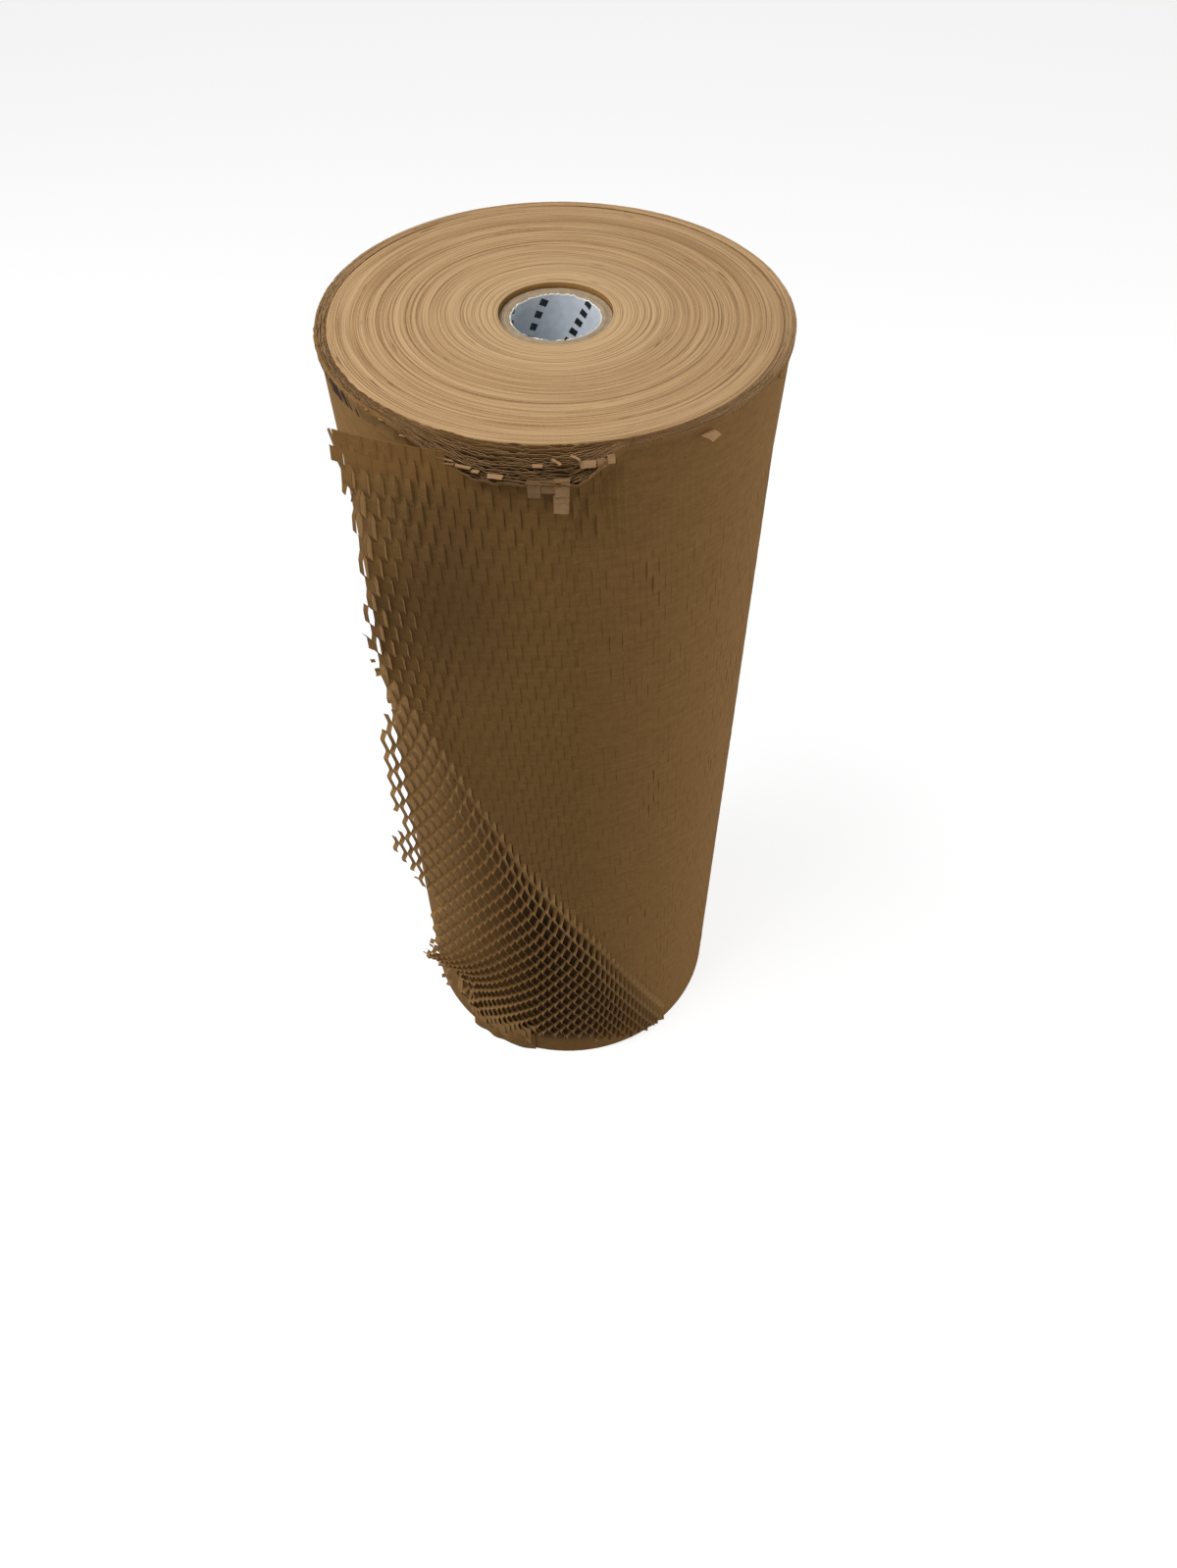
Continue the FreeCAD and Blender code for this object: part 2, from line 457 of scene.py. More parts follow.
@dataclass(frozen=True)
class KraftEdges:
    """Kraft paper cut across, hundreds of turns wound tight and seen on their edges.

    It gives the eye a paler, warmer brown in fine crisp rings, some darker where a
    turn stands lower, and short dark slivers of painted shade where turns part. It is
    paler towards the hole, a painted pool of light. A turn is 0.12 mm thick: the rings
    are drawn as coarse as bundles of five to twenty turns, on bands of about seventy. A
    ring's grain is its width across and its arc along.
    """

    name: str = "kraft_paper_cut_edges"
    base: str = "ae885e"
    dark: str = "6e4f30"
    light: str = "cba97e"
    # colour of the painted pool of light towards the hole
    pale: str = "d6b488"
    # colour of the painted shade in the gaps where turns part
    deep: str = "3e2812"
    roughness: float = 0.9
    sheen: float = 0.2
    fine: Grain = Grain(0.7, 400.0, 1.0, 0.6)
    coarse: Grain = Grain(2.1, 800.0, 1.0, 0.6)
    wide: Grain = Grain(8.0, 1200.0, 1.0, 0.6)
    parting: Grain = Grain(0.91, 16.0, 1.0, 0.6)
    loose: Grain = Grain(9.0, 40.0, 1.0, 0.6)
    stroke: Grain = Grain(0.525, 48.0, 1.0, 0.6)
    fuzz: Grain = Grain(0.6, 0.6, 3.0)
    # painted pool of light: paler towards the hole
    lit_near_hole: Cover = Cover(64.0 * MM, 28.0 * MM, 0.75)
    wide_light: Cover = Cover(0.35, 0.65, 0.5)
    coarse_dark: Cover = Cover(0.45, 0.34, 0.55)
    fine_dark: Cover = Cover(0.46, 0.34, 0.75)
    fine_light: Cover = Cover(0.54, 0.66, 0.6)
    stroke_dark: Cover = Cover(0.5, 0.3, 0.5)
    stroke_light: Cover = Cover(0.5, 0.68, 0.65)
    fuzz_light: Cover = Cover(0.4, 0.7, 0.3)
    parted: Cover = Cover(0.36, 0.26, 1.0)
    parted_there: Cover = Cover(0.5, 0.68, 0.9)
    lift: float = 0.3
    coarse_relief: float = 0.5
    fine_relief: float = 0.7

    def radius(self, tree: bpy.types.NodeTree) -> bpy.types.NodeSocket:
        """Distance from the axis: the length of the place without its height.

        Args:
            tree: the material's node tree.

        Returns:
            Output socket of the distance, in metres.
        """
        place = add(tree, "TexCoord").outputs["Object"]
        flat = add(tree, "VectorMath", {"operation": "MULTIPLY"}, i0=place, i1=(1.0, 1.0, 0.0))
        return add(tree, "VectorMath", {"operation": "LENGTH"},
                   i0=flat.outputs[0]).outputs["Value"]

    def rings(self, tree: bpy.types.NodeTree, grain: Grain) -> bpy.types.NodeSocket:
        """Noise in rings: read at the radius and, far more slowly, at the place.

        Args:
            tree: the material's node tree.
            grain: width and arc length of the rings.

        Returns:
            Output socket of the noise.
        """
        place = add(tree, "TexCoord").outputs["Object"]
        out = add(tree, "Math", {"operation": "MULTIPLY"}, i0=self.radius(tree),
                  i1=1.0 / (grain.across * MM)).outputs[0]
        around = add(tree, "SeparateXYZ", i0=place)
        spread = [add(tree, "Math", {"operation": "MULTIPLY"}, i0=around.outputs[k],
                      i1=1.0 / (grain.along * MM)).outputs[0] for k in (0, 1)]
        vector = add(tree, "CombineXYZ", i0=out, i1=spread[0], i2=spread[1]).outputs[0]
        return add(tree, "TexNoise", Vector=vector, Scale=1.0, Detail=grain.detail,
                   Roughness=grain.roughness).outputs[0]

    def build(self) -> bpy.types.Material:
        """Make the material.

        Returns:
            The material.
        """
        material, tree, out = new_material(self.name)
        fine, coarse, wide, parting, loose, strokes = (
            self.rings(tree, g) for g in (self.fine, self.coarse, self.wide, self.parting,
                                          self.loose, self.stroke))
        fuzz = mottle(tree, self.fuzz)
        colour = linear(self.base)
        # the first layer is the painted pool of light towards the hole
        for code, pattern, cover in ((self.pale, self.radius(tree), self.lit_near_hole),
                                     (self.light, wide, self.wide_light),
                                     (self.dark, coarse, self.coarse_dark),
                                     (self.dark, fine, self.fine_dark),
                                     (self.light, fine, self.fine_light),
                                     (self.dark, strokes, self.stroke_dark),
                                     (self.light, strokes, self.stroke_light),
                                     (self.light, fuzz, self.fuzz_light)):
            colour = lay(tree, colour, code, pattern, cover)
        # painted shade: dark slivers where turns part
        parted, there = [add(tree, "MapRange", i0=pattern, **cover.limits()).outputs[0]
                         for pattern, cover in ((parting, self.parted),
                                                (loose, self.parted_there))]
        painted_gap_shade = add(tree, "Math", {"operation": "MULTIPLY"}, i0=parted, i1=there).outputs[0]
        colour = add(tree, "Mix", IN_COLOUR, i0=painted_gap_shade, i6=colour,
                     i7=linear(self.deep)).outputs[2]
        first = add(tree, "Bump", Height=coarse, Strength=self.coarse_relief,
                    Distance=self.lift * MM)
        second = add(tree, "Bump", Height=fine, Strength=self.fine_relief,
                     Distance=self.lift / 2.0 * MM, Normal=first.outputs[0])
        skin = add(tree, "BsdfPrincipled", Base_Color=colour, Roughness=self.roughness,
                   IOR=PAPER_IOR, Normal=second.outputs[0], Specular_IOR_Level=self.sheen)
        tree.links.new(skin.outputs[0], out.inputs[0])
        return material


@dataclass(frozen=True)
class Greyboard:
    """Spiral-wound recycled board, glued in plies and sawn off.

    It gives the eye a greyish tan with darker fibre specks and a sawn, fuzzy end.
    """

    name: str = "greyboard_tube"
    base: str = "9c886c"
    dark: str = "6f5d45"
    light: str = "b5a386"
    roughness: float = 0.92
    speck: Grain = Grain(0.7, 0.7, 4.0, 0.7)
    patch: Grain = Grain(4.0, 4.0, 2.0)
    light_patches: Cover = Cover(0.35, 0.65, 0.5)
    dark_specks: Cover = Cover(0.45, 0.3, 0.8)
    relief: float = 0.6
    lift: float = 0.2

    def build(self) -> bpy.types.Material:
        """Make the material.

        Returns:
            The material.
        """
        material, tree, out = new_material(self.name)
        specks, patches = (mottle(tree, g) for g in (self.speck, self.patch))
        colour = lay(tree, linear(self.base), self.light, patches, self.light_patches)
        colour = lay(tree, colour, self.dark, specks, self.dark_specks)
        bump = add(tree, "Bump", Height=specks, Strength=self.relief, Distance=self.lift * MM)
        skin = add(tree, "BsdfPrincipled", Base_Color=colour, Roughness=self.roughness,
                   IOR=PAPER_IOR, Normal=bump.outputs[0])
        tree.links.new(skin.outputs[0], out.inputs[0])
        return material


@dataclass(frozen=True)
class PrintedPly:
    """White-grey lining paper printed in one black ink, glued in as the inmost ply.

    It gives the eye a cool grey-white with slanting rows of plain black bars. The UV
    map counts bars across and rows up, and a bar fills its share of both.
    """

    name: str = "printed_lining_paper"
    base: str = "dde3ea"
    shade: str = "c1c8d0"
    ink: str = "14171b"
    roughness: float = 0.55
    bar_share: float = 0.55
    row_share: float = 0.2
    cloud: Grain = Grain(3.0, 3.0, 3.0)
    cloud_cover: Cover = Cover(0.3, 0.7, 0.5)

    def build(self) -> bpy.types.Material:
        """Make the material, inked where both fractions of the UV map are within a bar.

        Returns:
            The material.
        """
        material, tree, out = new_material(self.name)
        place = add(tree, "UVMap", {"uv_map": "print"}).outputs[0]
        parts = add(tree, "SeparateXYZ", i0=place)
        bar, row = [add(tree, "Math", {"operation": "FRACT"}, i0=parts.outputs[k]).outputs[0]
                    for k in (0, 1)]
        in_bar, in_row = [add(tree, "Math", {"operation": "LESS_THAN"}, i0=part,
                              i1=share).outputs[0]
                          for part, share in ((bar, self.bar_share), (row, self.row_share))]
        inked = add(tree, "Math", {"operation": "MULTIPLY"}, i0=in_bar, i1=in_row).outputs[0]
        clouds = mottle(tree, self.cloud)
        colour = lay(tree, linear(self.base), self.shade, clouds, self.cloud_cover)
        colour = add(tree, "Mix", IN_COLOUR, i0=inked, i6=colour,
                     i7=linear(self.ink)).outputs[2]
        skin = add(tree, "BsdfPrincipled", Base_Color=colour, Roughness=self.roughness,
                   IOR=PAPER_IOR)
        tree.links.new(skin.outputs[0], out.inputs[0])
        return material




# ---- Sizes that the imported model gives

@dataclass(frozen=True)
class RollSizes:
    """Sizes of the roll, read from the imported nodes, in millimetres."""

    height: float
    rim_radius: float
    tube_radius: float
    tube_top: float
    liner_radius: float
    liner_top: float
    flare: float = 2.8
    flare_height: float = 20.0
    flare_power: float = 1.5
    tube_wall: float = 4.85
    liner_wall: float = 0.35
    slack: float = 0.1
    droop_from: tuple = (-42.0, -15.0)
    droop_to: tuple = (14.5, 2.5)

    @property
    def radius(self) -> float:
        """Outside of the tight winding."""
        return self.rim_radius - self.flare

    @property
    def hole_radius(self) -> float:
        """Inside of the first turn."""
        return self.tube_radius + self.slack

    def droop(self, angle: np.ndarray) -> np.ndarray:
        """How far the last turns droop round the rim, 0 to 1 (1 at the front left)."""
        degrees = np.degrees(angle)
        return smooth(degrees, *self.droop_from) * smooth(degrees, *self.droop_to)

    def flared(self, radius: float, height: np.ndarray) -> np.ndarray:
        """Radius at a height: the edge of the last turns leans out below the rim."""
        lean = np.clip((height - (self.height - self.flare_height)) / self.flare_height, 0.0, 1.0)
        return radius + self.flare * lean ** self.flare_power


def read_sizes() -> RollSizes:
    """Take the roll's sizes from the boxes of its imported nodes.

    Returns:
        The sizes.
    """
    web, tube, ply = (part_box(name)[1] for name in ("paper_web", "core_tube", "core_liner"))
    return RollSizes(height=web.z / MM, rim_radius=web.x / MM, tube_radius=tube.x / MM,
                     tube_top=tube.z / MM, liner_radius=ply.x / MM, liner_top=ply.z / MM)


# ---- The wound turns

@dataclass
class WoundTurns:
    """The tight turns as one ring: its two ends show the edges of the turns."""

    sizes: RollSizes
    finishes: dict
    around: int = 420
    across: int = 190
    skin: float = 0.7
    end_drop: float = 0.5
    uneven: float = 0.3
    fine_ring: tuple = (1.1, 0.5)
    medium_ring: tuple = (3.1, 0.6)
    wide_ring: tuple = (7.0, 0.8)
    ring_lobes: int = 9
    wide_knots: int = 64
    drift: float = 0.6
    drift_lobes: float = 2.0
    drift_twist: float = 0.05
    tight_radius: float = 97.3
    tight_less: float = 0.5
    tight_edge: float = 0.6
    rim_drop: float = 3.0
    front_drop: float = 13.0
    under_rim: float = 1.5
    hole_dip: float = 1.9
    dip_least: float = 0.3
    dip_front: tuple = (-0.1, 0.9)
    dip_width: float = 9.0
    side_foot: float = 2.0
    side_steps: tuple = (0.0, 0.25, 0.5, 0.75, 0.9, 0.95, 0.98, 1.0)
    foot_rings: int = 28
    foot_height: float = 0.6
    foot_ring: tuple = (1.3, 0.5)
    wall_rings: int = 6
    wall_inset: float = 3.0

    def end_height(self, radius: np.ndarray, angle: np.ndarray) -> np.ndarray:
        """Height of the upper end above the mean: uneven rings that drift round the roll.

        The rings are smooth random curves of the radius at three widths, shifted a
        little with the angle. Outside the tight turns the end drops by a step of the
        radius, so that the slack turns there stand free of each other, and near the
        hole it dips by a bell of the radius, most in front.

        Args:
            radius: distances from the axis.
            angle: angles from the front.

        Returns:
            Heights above the mean, less than 0 below it.
        """
        place = self.drift * np.sin(angle * self.drift_lobes + radius * self.drift_twist) + radius
        lobe = angle / (2 * np.pi) * self.ring_lobes
        rings = self.fine_ring[1] * wander(place / self.fine_ring[0], Seed.RING_FINE) \
            + self.medium_ring[1] * wander(place / self.medium_ring[0], Seed.RING_MEDIUM) \
            + self.wide_ring[1] * wander2(radius / self.wide_ring[0], lobe, Seed.RING_WIDE,
                                          self.wide_knots, self.ring_lobes)
        droop = self.sizes.droop(angle)
        step = smooth(radius, self.tight_radius - self.tight_less * droop,
                      self.tight_radius + self.tight_edge)
        front = smooth(np.cos(angle), *self.dip_front)
        dip = self.hole_dip * (self.dip_least + (1.0 - self.dip_least) * front) \
            * bell(radius, self.sizes.hole_radius, self.dip_width)
        return self.uneven * rings - dip - step * (self.rim_drop + self.front_drop * droop)

    def build(self) -> bpy.types.Object:
        """Carry the ring's section round the axis: foot, side, upper end, wall of the hole.

        Returns:
            The piece.
        """
        s = self.sizes
        outer, hole = s.radius - self.skin, s.hole_radius
        angle = round_angles(self.around)
        across = np.linspace(1.0, 0.0, self.across)
        limit = s.height - self.rim_drop - self.under_rim - self.front_drop * s.droop(angle)
        top_r = hole + (s.flared(outer, limit) - hole) * across
        side_z = self.side_foot + (limit - self.side_foot) * np.array(self.side_steps)
        foot_r = np.linspace(hole, outer, self.foot_rings)
        foot_z = self.foot_height \
            + self.foot_ring[1] * wander(foot_r / self.foot_ring[0], Seed.FOOT_RINGS)
        wall_z = np.linspace(s.height - self.wall_inset, self.wall_inset, self.wall_rings)
        parts = [polar(angle, foot_r, foot_z), polar(angle, s.flared(outer, side_z), side_z),
                 polar(angle, top_r, s.height - self.end_drop + self.end_height(top_r, angle)),
                 polar(angle, hole, wall_z)]
        grid = np.concatenate(parts, axis=1)
        quads = grid_quads(self.around, grid.shape[1], True, True)
        is_wall = np.arange(grid.shape[1]) >= grid.shape[1] - self.wall_rings - 1
        return make_piece("wound_turns", grid, quads,
                          [self.finishes[Finish.EDGES], self.finishes[Finish.FACE]],
                          np.tile(is_wall, self.around), nodes=("paper_web",))


@dataclass(frozen=True)
class SlitPattern:
    """The slits of the closed web: columns of slits, in turn half a period up."""

    columns: int = 210
    half_rows: int = 53
    land: float = 5.2
    lean: float = 0.5


@dataclass(frozen=True)
class AjarPatch:
    """Where slits stand ajar: an angle and a width in degrees, and a span of heights.

    Their edges stand out by so many mm there, and up to a second span if it has one.
    """

    middle: float
    width: float
    heights: tuple
    out: float
    until: tuple = (900.0, 800.0)


@dataclass
class OuterTurn:
    """The turn that shows on the roll's side, a closed slit web.

    The paper is 0.12 mm thick. Here it is a wall that reaches into the tight turns, so
    that no gap shows behind the grooves of its slits.
    """

    sizes: RollSizes
    finishes: dict
    pattern: SlitPattern = field(default_factory=SlitPattern)
    thickness: float = 0.9
    inner_rows: tuple = (-1, -20, -60, 0)
    gap_least: float = 0.004
    slit_half: float = 0.06
    slit_depth: float = 0.5
    slit_share: float = 0.78
    slit_gape: float = 1.6
    tilt_gain: float = 0.8
    sunk_share: float = 0.35
    least_rough: float = 0.1
    rim_clear: float = 1.2
    top_drop: float = 14.0
    row_rise: float = 0.02
    row_squeeze: float = 0.03
    tilt: float = 0.07
    tilt_change: float = 0.9
    tilt_grain: tuple = (17.0, 31.0)
    patch_grain: tuple = (23.0, 27.0)
    patch_span: tuple = (0.5, 0.95)
    patch_out: float = 0.16
    knots: tuple = (64, 64)
    ajar: tuple = (AjarPatch(-50.0, 17.0, (440.0, 485.0), 0.5),
                   AjarPatch(0.0, 9.0, (425.0, 462.0), 0.75),
                   AjarPatch(34.0, 16.0, (455.0, 480.0), 0.3),
                   AjarPatch(24.0, 7.0, (405.0, 425.0), 0.35, (455.0, 435.0)))
    # painted shade on the side below the opened net
    shade: float = 0.8
    shade_places: tuple = (-30.0, 10.0)
    shade_reaches: tuple = (30.0, 7.0)
    shade_left: tuple = (-52.0, -14.0)
    shade_right: tuple = (70.0, 54.0)
    shade_foot: tuple = (14.0, 26.0)

    def tilt_at(self, place: np.ndarray, height: np.ndarray) -> np.ndarray:
        """How far the edge of a slit stands out, in mm.

        A small random amount all over, more where the slits stand ajar: under the
        rim at the left and at the front, and here and there on the right side.

        Args:
            place: arc places of the slits.
            height: their heights.

        Returns:
            Distances from the surface.
        """
        angle = np.degrees(place / self.sizes.radius)
        (wide, tall), (patch_wide, patch_tall) = self.tilt_grain, self.patch_grain
        change = wander2(place / wide, height / tall, Seed.SLIT_TILT, *self.knots)
        patches = wander2(place / patch_wide, height / patch_tall, Seed.SLIT_PATCHES, *self.knots)
        out = self.tilt * (1.0 + self.tilt_change * change) \
            + smooth(patches, *self.patch_span) * self.patch_out
        for patch in self.ajar:
            out = out + bell(angle, patch.middle, patch.width) * patch.out \
                * smooth(height, *patch.heights) * smooth(height, *patch.until)
        return out

    def under_net(self, points: np.ndarray) -> np.ndarray:
        """How deep in the shade of the opened net a point of the side lies, 0 to 1.

        It falls off below the net's slanting front over a reach that shortens towards
        the right, and ends at the free left end, at the right corner and at the hem.

        Args:
            points: array (..., 3) of points.

        Returns:
            One share for each point.
        """
        arc = np.arctan2(points[..., 0], -points[..., 1]) * self.sizes.radius
        height = points[..., 2]
        front = np.interp(arc, LooseSheet.teeth_places, LooseSheet.teeth_heights)
        reach = np.interp(arc, self.shade_places, self.shade_reaches)
        return smooth((front - height) / reach, 0.0, 1.0) * smooth(arc, *self.shade_left) \
            * smooth(arc, *self.shade_right) * smooth(height, *self.shade_foot)

    def build(self) -> bpy.types.Object:
        """Set out the two edges of each slit and the groove between them, row by row.

        At a land edges and groove meet the surface. Half a period on, the edge to the
        right of a slit stands out, the one to its left lies low, and the groove
        between them is as deep and wide as a random amount of the slit. The columns
        lean to the left going up.

        Returns:
            The piece.
        """
        s, p = self.sizes, self.pattern
        pitch = 2 * np.pi * s.radius / p.columns
        half = s.height / p.half_rows
        row = np.arange(p.half_rows + 1)
        z = np.stack([row * half - p.land / 2, row * half + p.land / 2], -1).ravel()
        row = np.repeat(row, 2)
        column = np.arange(p.columns)[:, None]
        place = -np.pi * s.radius + column * pitch - p.lean * z / half
        limit = s.height - self.rim_clear - self.top_drop * s.droop(place / s.radius)
        order = np.arange(z.size)
        height = np.maximum(np.minimum(z, limit - self.row_squeeze * order[::-1]),
                            self.row_rise * order)
        out = self.tilt_at(place, z)
        at_land = (row[None, :] + column) % 2 == 0
        rough = np.random.default_rng(Seed.SLIT_ROUGHNESS).uniform(
            self.least_rough, 1.0, (p.columns, row.size // 2 + 1))
        rough = np.repeat(rough, 2, axis=1)[:, :row.size]
        parted = (rough + self.tilt_gain * (out - self.tilt)) > self.slit_share
        gape = self.slit_half * (rough + self.slit_gape * out) * parted
        gap = self.gap_least + np.where(at_land, 0.0, gape)
        deep = np.where(at_land, 0.0, self.slit_depth * parted)
        left_edge = np.where(at_land, 0.0, out * rough)
        right_edge = -self.sunk_share * left_edge
        angle = np.stack([place - gap, place, place + gap], 1) / s.radius
        shift = np.stack([right_edge, right_edge - deep, left_edge], 1)
        tall = np.stack([height, height, height], 1)
        grid = polar(angle, s.flared(s.radius, tall) + shift, tall)
        grid = grid.reshape(3 * p.columns, z.size, 3)
        pick = list(self.inner_rows)
        inner_z = tall.reshape(3 * p.columns, -1)[:, pick]
        inner = polar(angle.reshape(3 * p.columns, -1)[:, pick],
                      s.flared(s.radius - self.thickness, inner_z), inner_z)
        grid = np.concatenate([grid, inner], axis=1)
        quads = grid_quads(3 * p.columns, grid.shape[1], True, True)
        piece = make_piece("outer_turn", grid, quads,
                           [self.finishes[Finish.FACE]], is_smooth=False)
        # painted shade under the opened net
        set_values(piece, "painted_shade", self.shade * self.under_net(grid))
        return piece


# ---- The loose sheet

@dataclass
class LooseSheet:
    """The outermost turn where it has come loose, with the opened net below it.

    Columns of the web are numbered from the left, column 0 at the tooth furthest to
    the left. Rows are counted down from the front of the opened part, so that row 0
    of every column is its tooth on the slanting line. A ribbon of web lies between
    two columns, and its lands join it to its neighbours at every second row. The paper
    is 0.12 mm thick, and is drawn about twice that, so that its cut edges show.
    """

    sizes: RollSizes
    finishes: dict
    thickness: float = 0.22
    # the web
    first_column: int = -6
    last_column: int = 42
    first_row: int = -52
    last_row: int = 62
    rows_at_zero: int = 15
    top: float = 494.0
    lean: float = 0.5
    net_row: float = 7.1
    settle: float = 2.1
    settle_rows: float = 5.5
    slide: float = 0.45
    slide_rows: float = 5.0
    slide_back: float = 0.15
    teeth_columns: tuple = (-8.0, 0.0, 15.0, 25.0, 37.0, 44.0)
    teeth_places: tuple = (-104.0, -76.0, -22.0, 16.4, 52.9, 74.0)
    teeth_heights: tuple = (440.0, 362.0, 217.0, 141.0, 56.0, 8.0)
    # the torn outline, the hem and the top edge
    least_height: float = 0.35
    floor_height: float = 0.6
    tear_heights: tuple = (0.0, 60.0, 100.0, 128.0, 162.0, 194.0, 209.0, 239.0, 252.0, 265.0,
                           278.0, 303.0, 329.0, 347.0, 357.0, 386.0, 404.0, 424.0, 453.0,
                           468.0, 482.0, 500.0)
    tear_places: tuple = (-72.0, -97.0, -96.0, -90.0, -81.0, -78.0, -84.0, -91.0, -96.0,
                          -87.0, -89.0, -90.5, -89.0, -85.0, -81.0, -85.0, -87.0, -81.5,
                          -83.0, -86.0, -89.0, -90.0)
    tear_depth: float = 1.6
    tear_grain: float = 5.0
    hem_places: tuple = (-27.0, -26.0, 15.0, 16.0, 38.0, 60.0)
    hem_heights: tuple = (9.0, 26.0, 26.0, 18.0, 9.0, 3.0)
    top_places: tuple = (-46.0, -36.0, -22.0)
    top_heights: tuple = (495.0, 491.5, 486.5)
    stuck_place: float = 8.0
    stuck_row: int = -4
    # ribbons and their lands
    ribbon: float = 3.05
    slim_ribbon: float = 2.6
    slim_right: float = 0.35
    slim_places: tuple = (5.0, 30.0)
    slim_rows: tuple = (1.0, 6.0)
    slim_rows_right: tuple = (2.0, 5.0)
    slim_rows_places: tuple = (-10.0, 20.0)
    shut_rows: tuple = (0.0, -3.0)
    closed_gap: float = 0.007
    gap_gain: float = 14.0
    land_half: float = 2.8
    net_land_half: float = 0.8
    land_rows: tuple = (-1.0, 1.0)
    link_parts: tuple = (0.26, 0.74)
    last_link: float = 6.0
    first_shear: float = 1.5
    shear: float = 0.35
    shear_rows: tuple = (1.0, 6.0)
    shear_from: tuple = (-1.0, 0.5)
    shear_less: float = 0.7
    shear_places: tuple = (10.0, 40.0)
    # how far ribbons are turned out, in degrees
    corner_ajar: float = 15.0
    corner_places: tuple = (-78.0, -42.0)
    top_shut: tuple = (486.0, 475.0)
    edge_ajar: float = 36.0
    edge_places: tuple = (-75.0, -80.0)
    edge_top: float = 474.0
    ajar: float = 0.1
    rim_ajar: float = 2.4
    rim_heights: tuple = (430.0, 455.0)
    rim_places: tuple = (10.0, -10.0)
    left_ajar: float = 2.8
    left_places: tuple = (-34.0, -52.0)
    ajar_mean: float = 0.6
    ajar_grain: tuple = (9.0, 16.0)
    ajar_knots: tuple = (64, 64)
    first_places: tuple = (-80.0, -45.0, 15.0, 50.0)
    first_angles: tuple = (33.0, 47.0, 47.0, 33.84)
    front_rows: tuple = (-0.9, 0.6)
    wider: float = 16.0
    wider_rows: tuple = (1.5, 7.0)
    net_places: tuple = (-66.0, -30.0)
    pressed_shut: float = 0.9
    corner_shut: float = 0.5
    corner_shut_places: tuple = (-26.0, -50.0)
    corner_shut_heights: tuple = (110.0, 45.0)
    # the lower left hem, pressed flat
    pressed_places: tuple = (-70.0, -28.0)
    pressed_tops: tuple = (20.0, 38.0)
    pressed_left: tuple = (-24.0, -28.0)
    pressed_edge: tuple = (8.0, -10.0)
    pressed_swell: float = 0.5
    pressed_grain: tuple = (6.0, 9.0)
    # how far the sheet stands off the roll
    lift_place: float = -5.24
    shut_places: tuple = (-40.0, -12.0, 6.0, 9.0)
    shut_out: tuple = (2.4, 1.0, 0.1, -0.9)
    net_rise: float = 1.95
    rise_rows: tuple = (-1.2, 0.8)
    sunk: float = 0.9
    sunk_rows: tuple = (-1.0, -3.0)
    sunk_place: float = 6.0
    crumple: float = 3.4
    crumple_grain: tuple = (4.3, 5.1)
    crumple_places: tuple = (-62.0, -76.0)
    crumple_from: tuple = (18.0, 34.0)
    crumple_to: tuple = (90.0, 70.0)
    floor_bend: tuple = (150.0, 45.0)
    top_bend: tuple = (425.0, 492.0)
    top_curvature: float = 0.0048
    # painted light and shade
    glow: float = 0.4
    glow_heights: tuple = (470.0, 492.0)
    glow_places: tuple = (-20.0, -45.0)
    # painted highlight on the lips that stand out of the net
    highlight_row: int = -1
    highlight_rows: tuple = (2.0, 7.0)
    highlight_less: float = 0.3
    highlight_out: tuple = (-2.0, 1.5)
    highlight_heights: tuple = (180.0, 280.0)
    highlight_less_above: float = 0.4
    # painted shade on the edges that lie deep in the net
    deep: float = 0.6
    deep_shade_out: tuple = (0.6, -1.8)
    deep_shade_places: tuple = (-50.0, -12.0)
    deep_shade_heights: tuple = (170.0, 80.0)
    # painted shade on the upper part of the sheet
    shade: float = 0.04
    shade_more: float = 0.33
    shade_more_heights: tuple = (345.0, 430.0)
    shade_heights: tuple = (160.0, 260.0)
    shade_places: tuple = (-4.0, -52.0)
    # the hem flap at the lower left
    flap_ends: tuple = (-74.0, -25.6)
    flap_grid: tuple = (90, 16)
    flap_height: float = 11.0
    flap_rise: float = 9.0
    flap_rise_places: tuple = (-60.0, -34.0)
    flap_edge: float = 2.4
    flap_edge_grain: float = 3.4
    flap_out: float = 2.5
    flap_foot: float = 0.2
    flap_wave: float = 0.7
    flap_grain: tuple = (7.0, 14.0)
    flap_head: tuple = (0.6, 1.0)
    flap_end_out: float = 1.2
    flap_end_places: tuple = (-25.0, -36.0)

    def web_place(self, column: np.ndarray, row: np.ndarray) -> tuple:
        """Place, height of a land of a column.

        Above the front the rows are evenly spaced up to the top edge and the columns
        lean to the left going up. Below it a row takes a height that falls from the
        closed one to the opened one as a bell of the row number, and the columns
        first lean on, then back.

        Args:
            column: column numbers.
            row: rows below the front, less than 0 above it.

        Returns:
            Places along the sheet and heights.
        """
        place = np.interp(column, self.teeth_columns, self.teeth_places)
        height = np.interp(column, self.teeth_columns, self.teeth_heights)
        closed = (self.top - height) / (self.rows_at_zero + column)
        last = self.last_row + 2
        steps = np.arange(last + 1)
        settle = self.settle * bell(steps, 0.0, self.settle_rows)
        slide = self.slide * bell(steps, 0.0, self.slide_rows) - self.slide_back
        settle, slide = (np.cumsum(v) - v[0] for v in (settle, slide))
        below, above = np.clip(row, 0, last), np.clip(-row, 0, None)
        place = place + slide[below] - self.lean * above
        height = height - self.net_row * below - settle[below] + closed * above
        return place, height

    def pressed(self, place: np.ndarray, height: np.ndarray) -> np.ndarray:
        """How flat the net's lower left hem is pressed, 0 to 1."""
        above = height - np.interp(place, self.pressed_places, self.pressed_tops)
        return smooth(place, *self.pressed_left) * smooth(above, *self.pressed_edge)

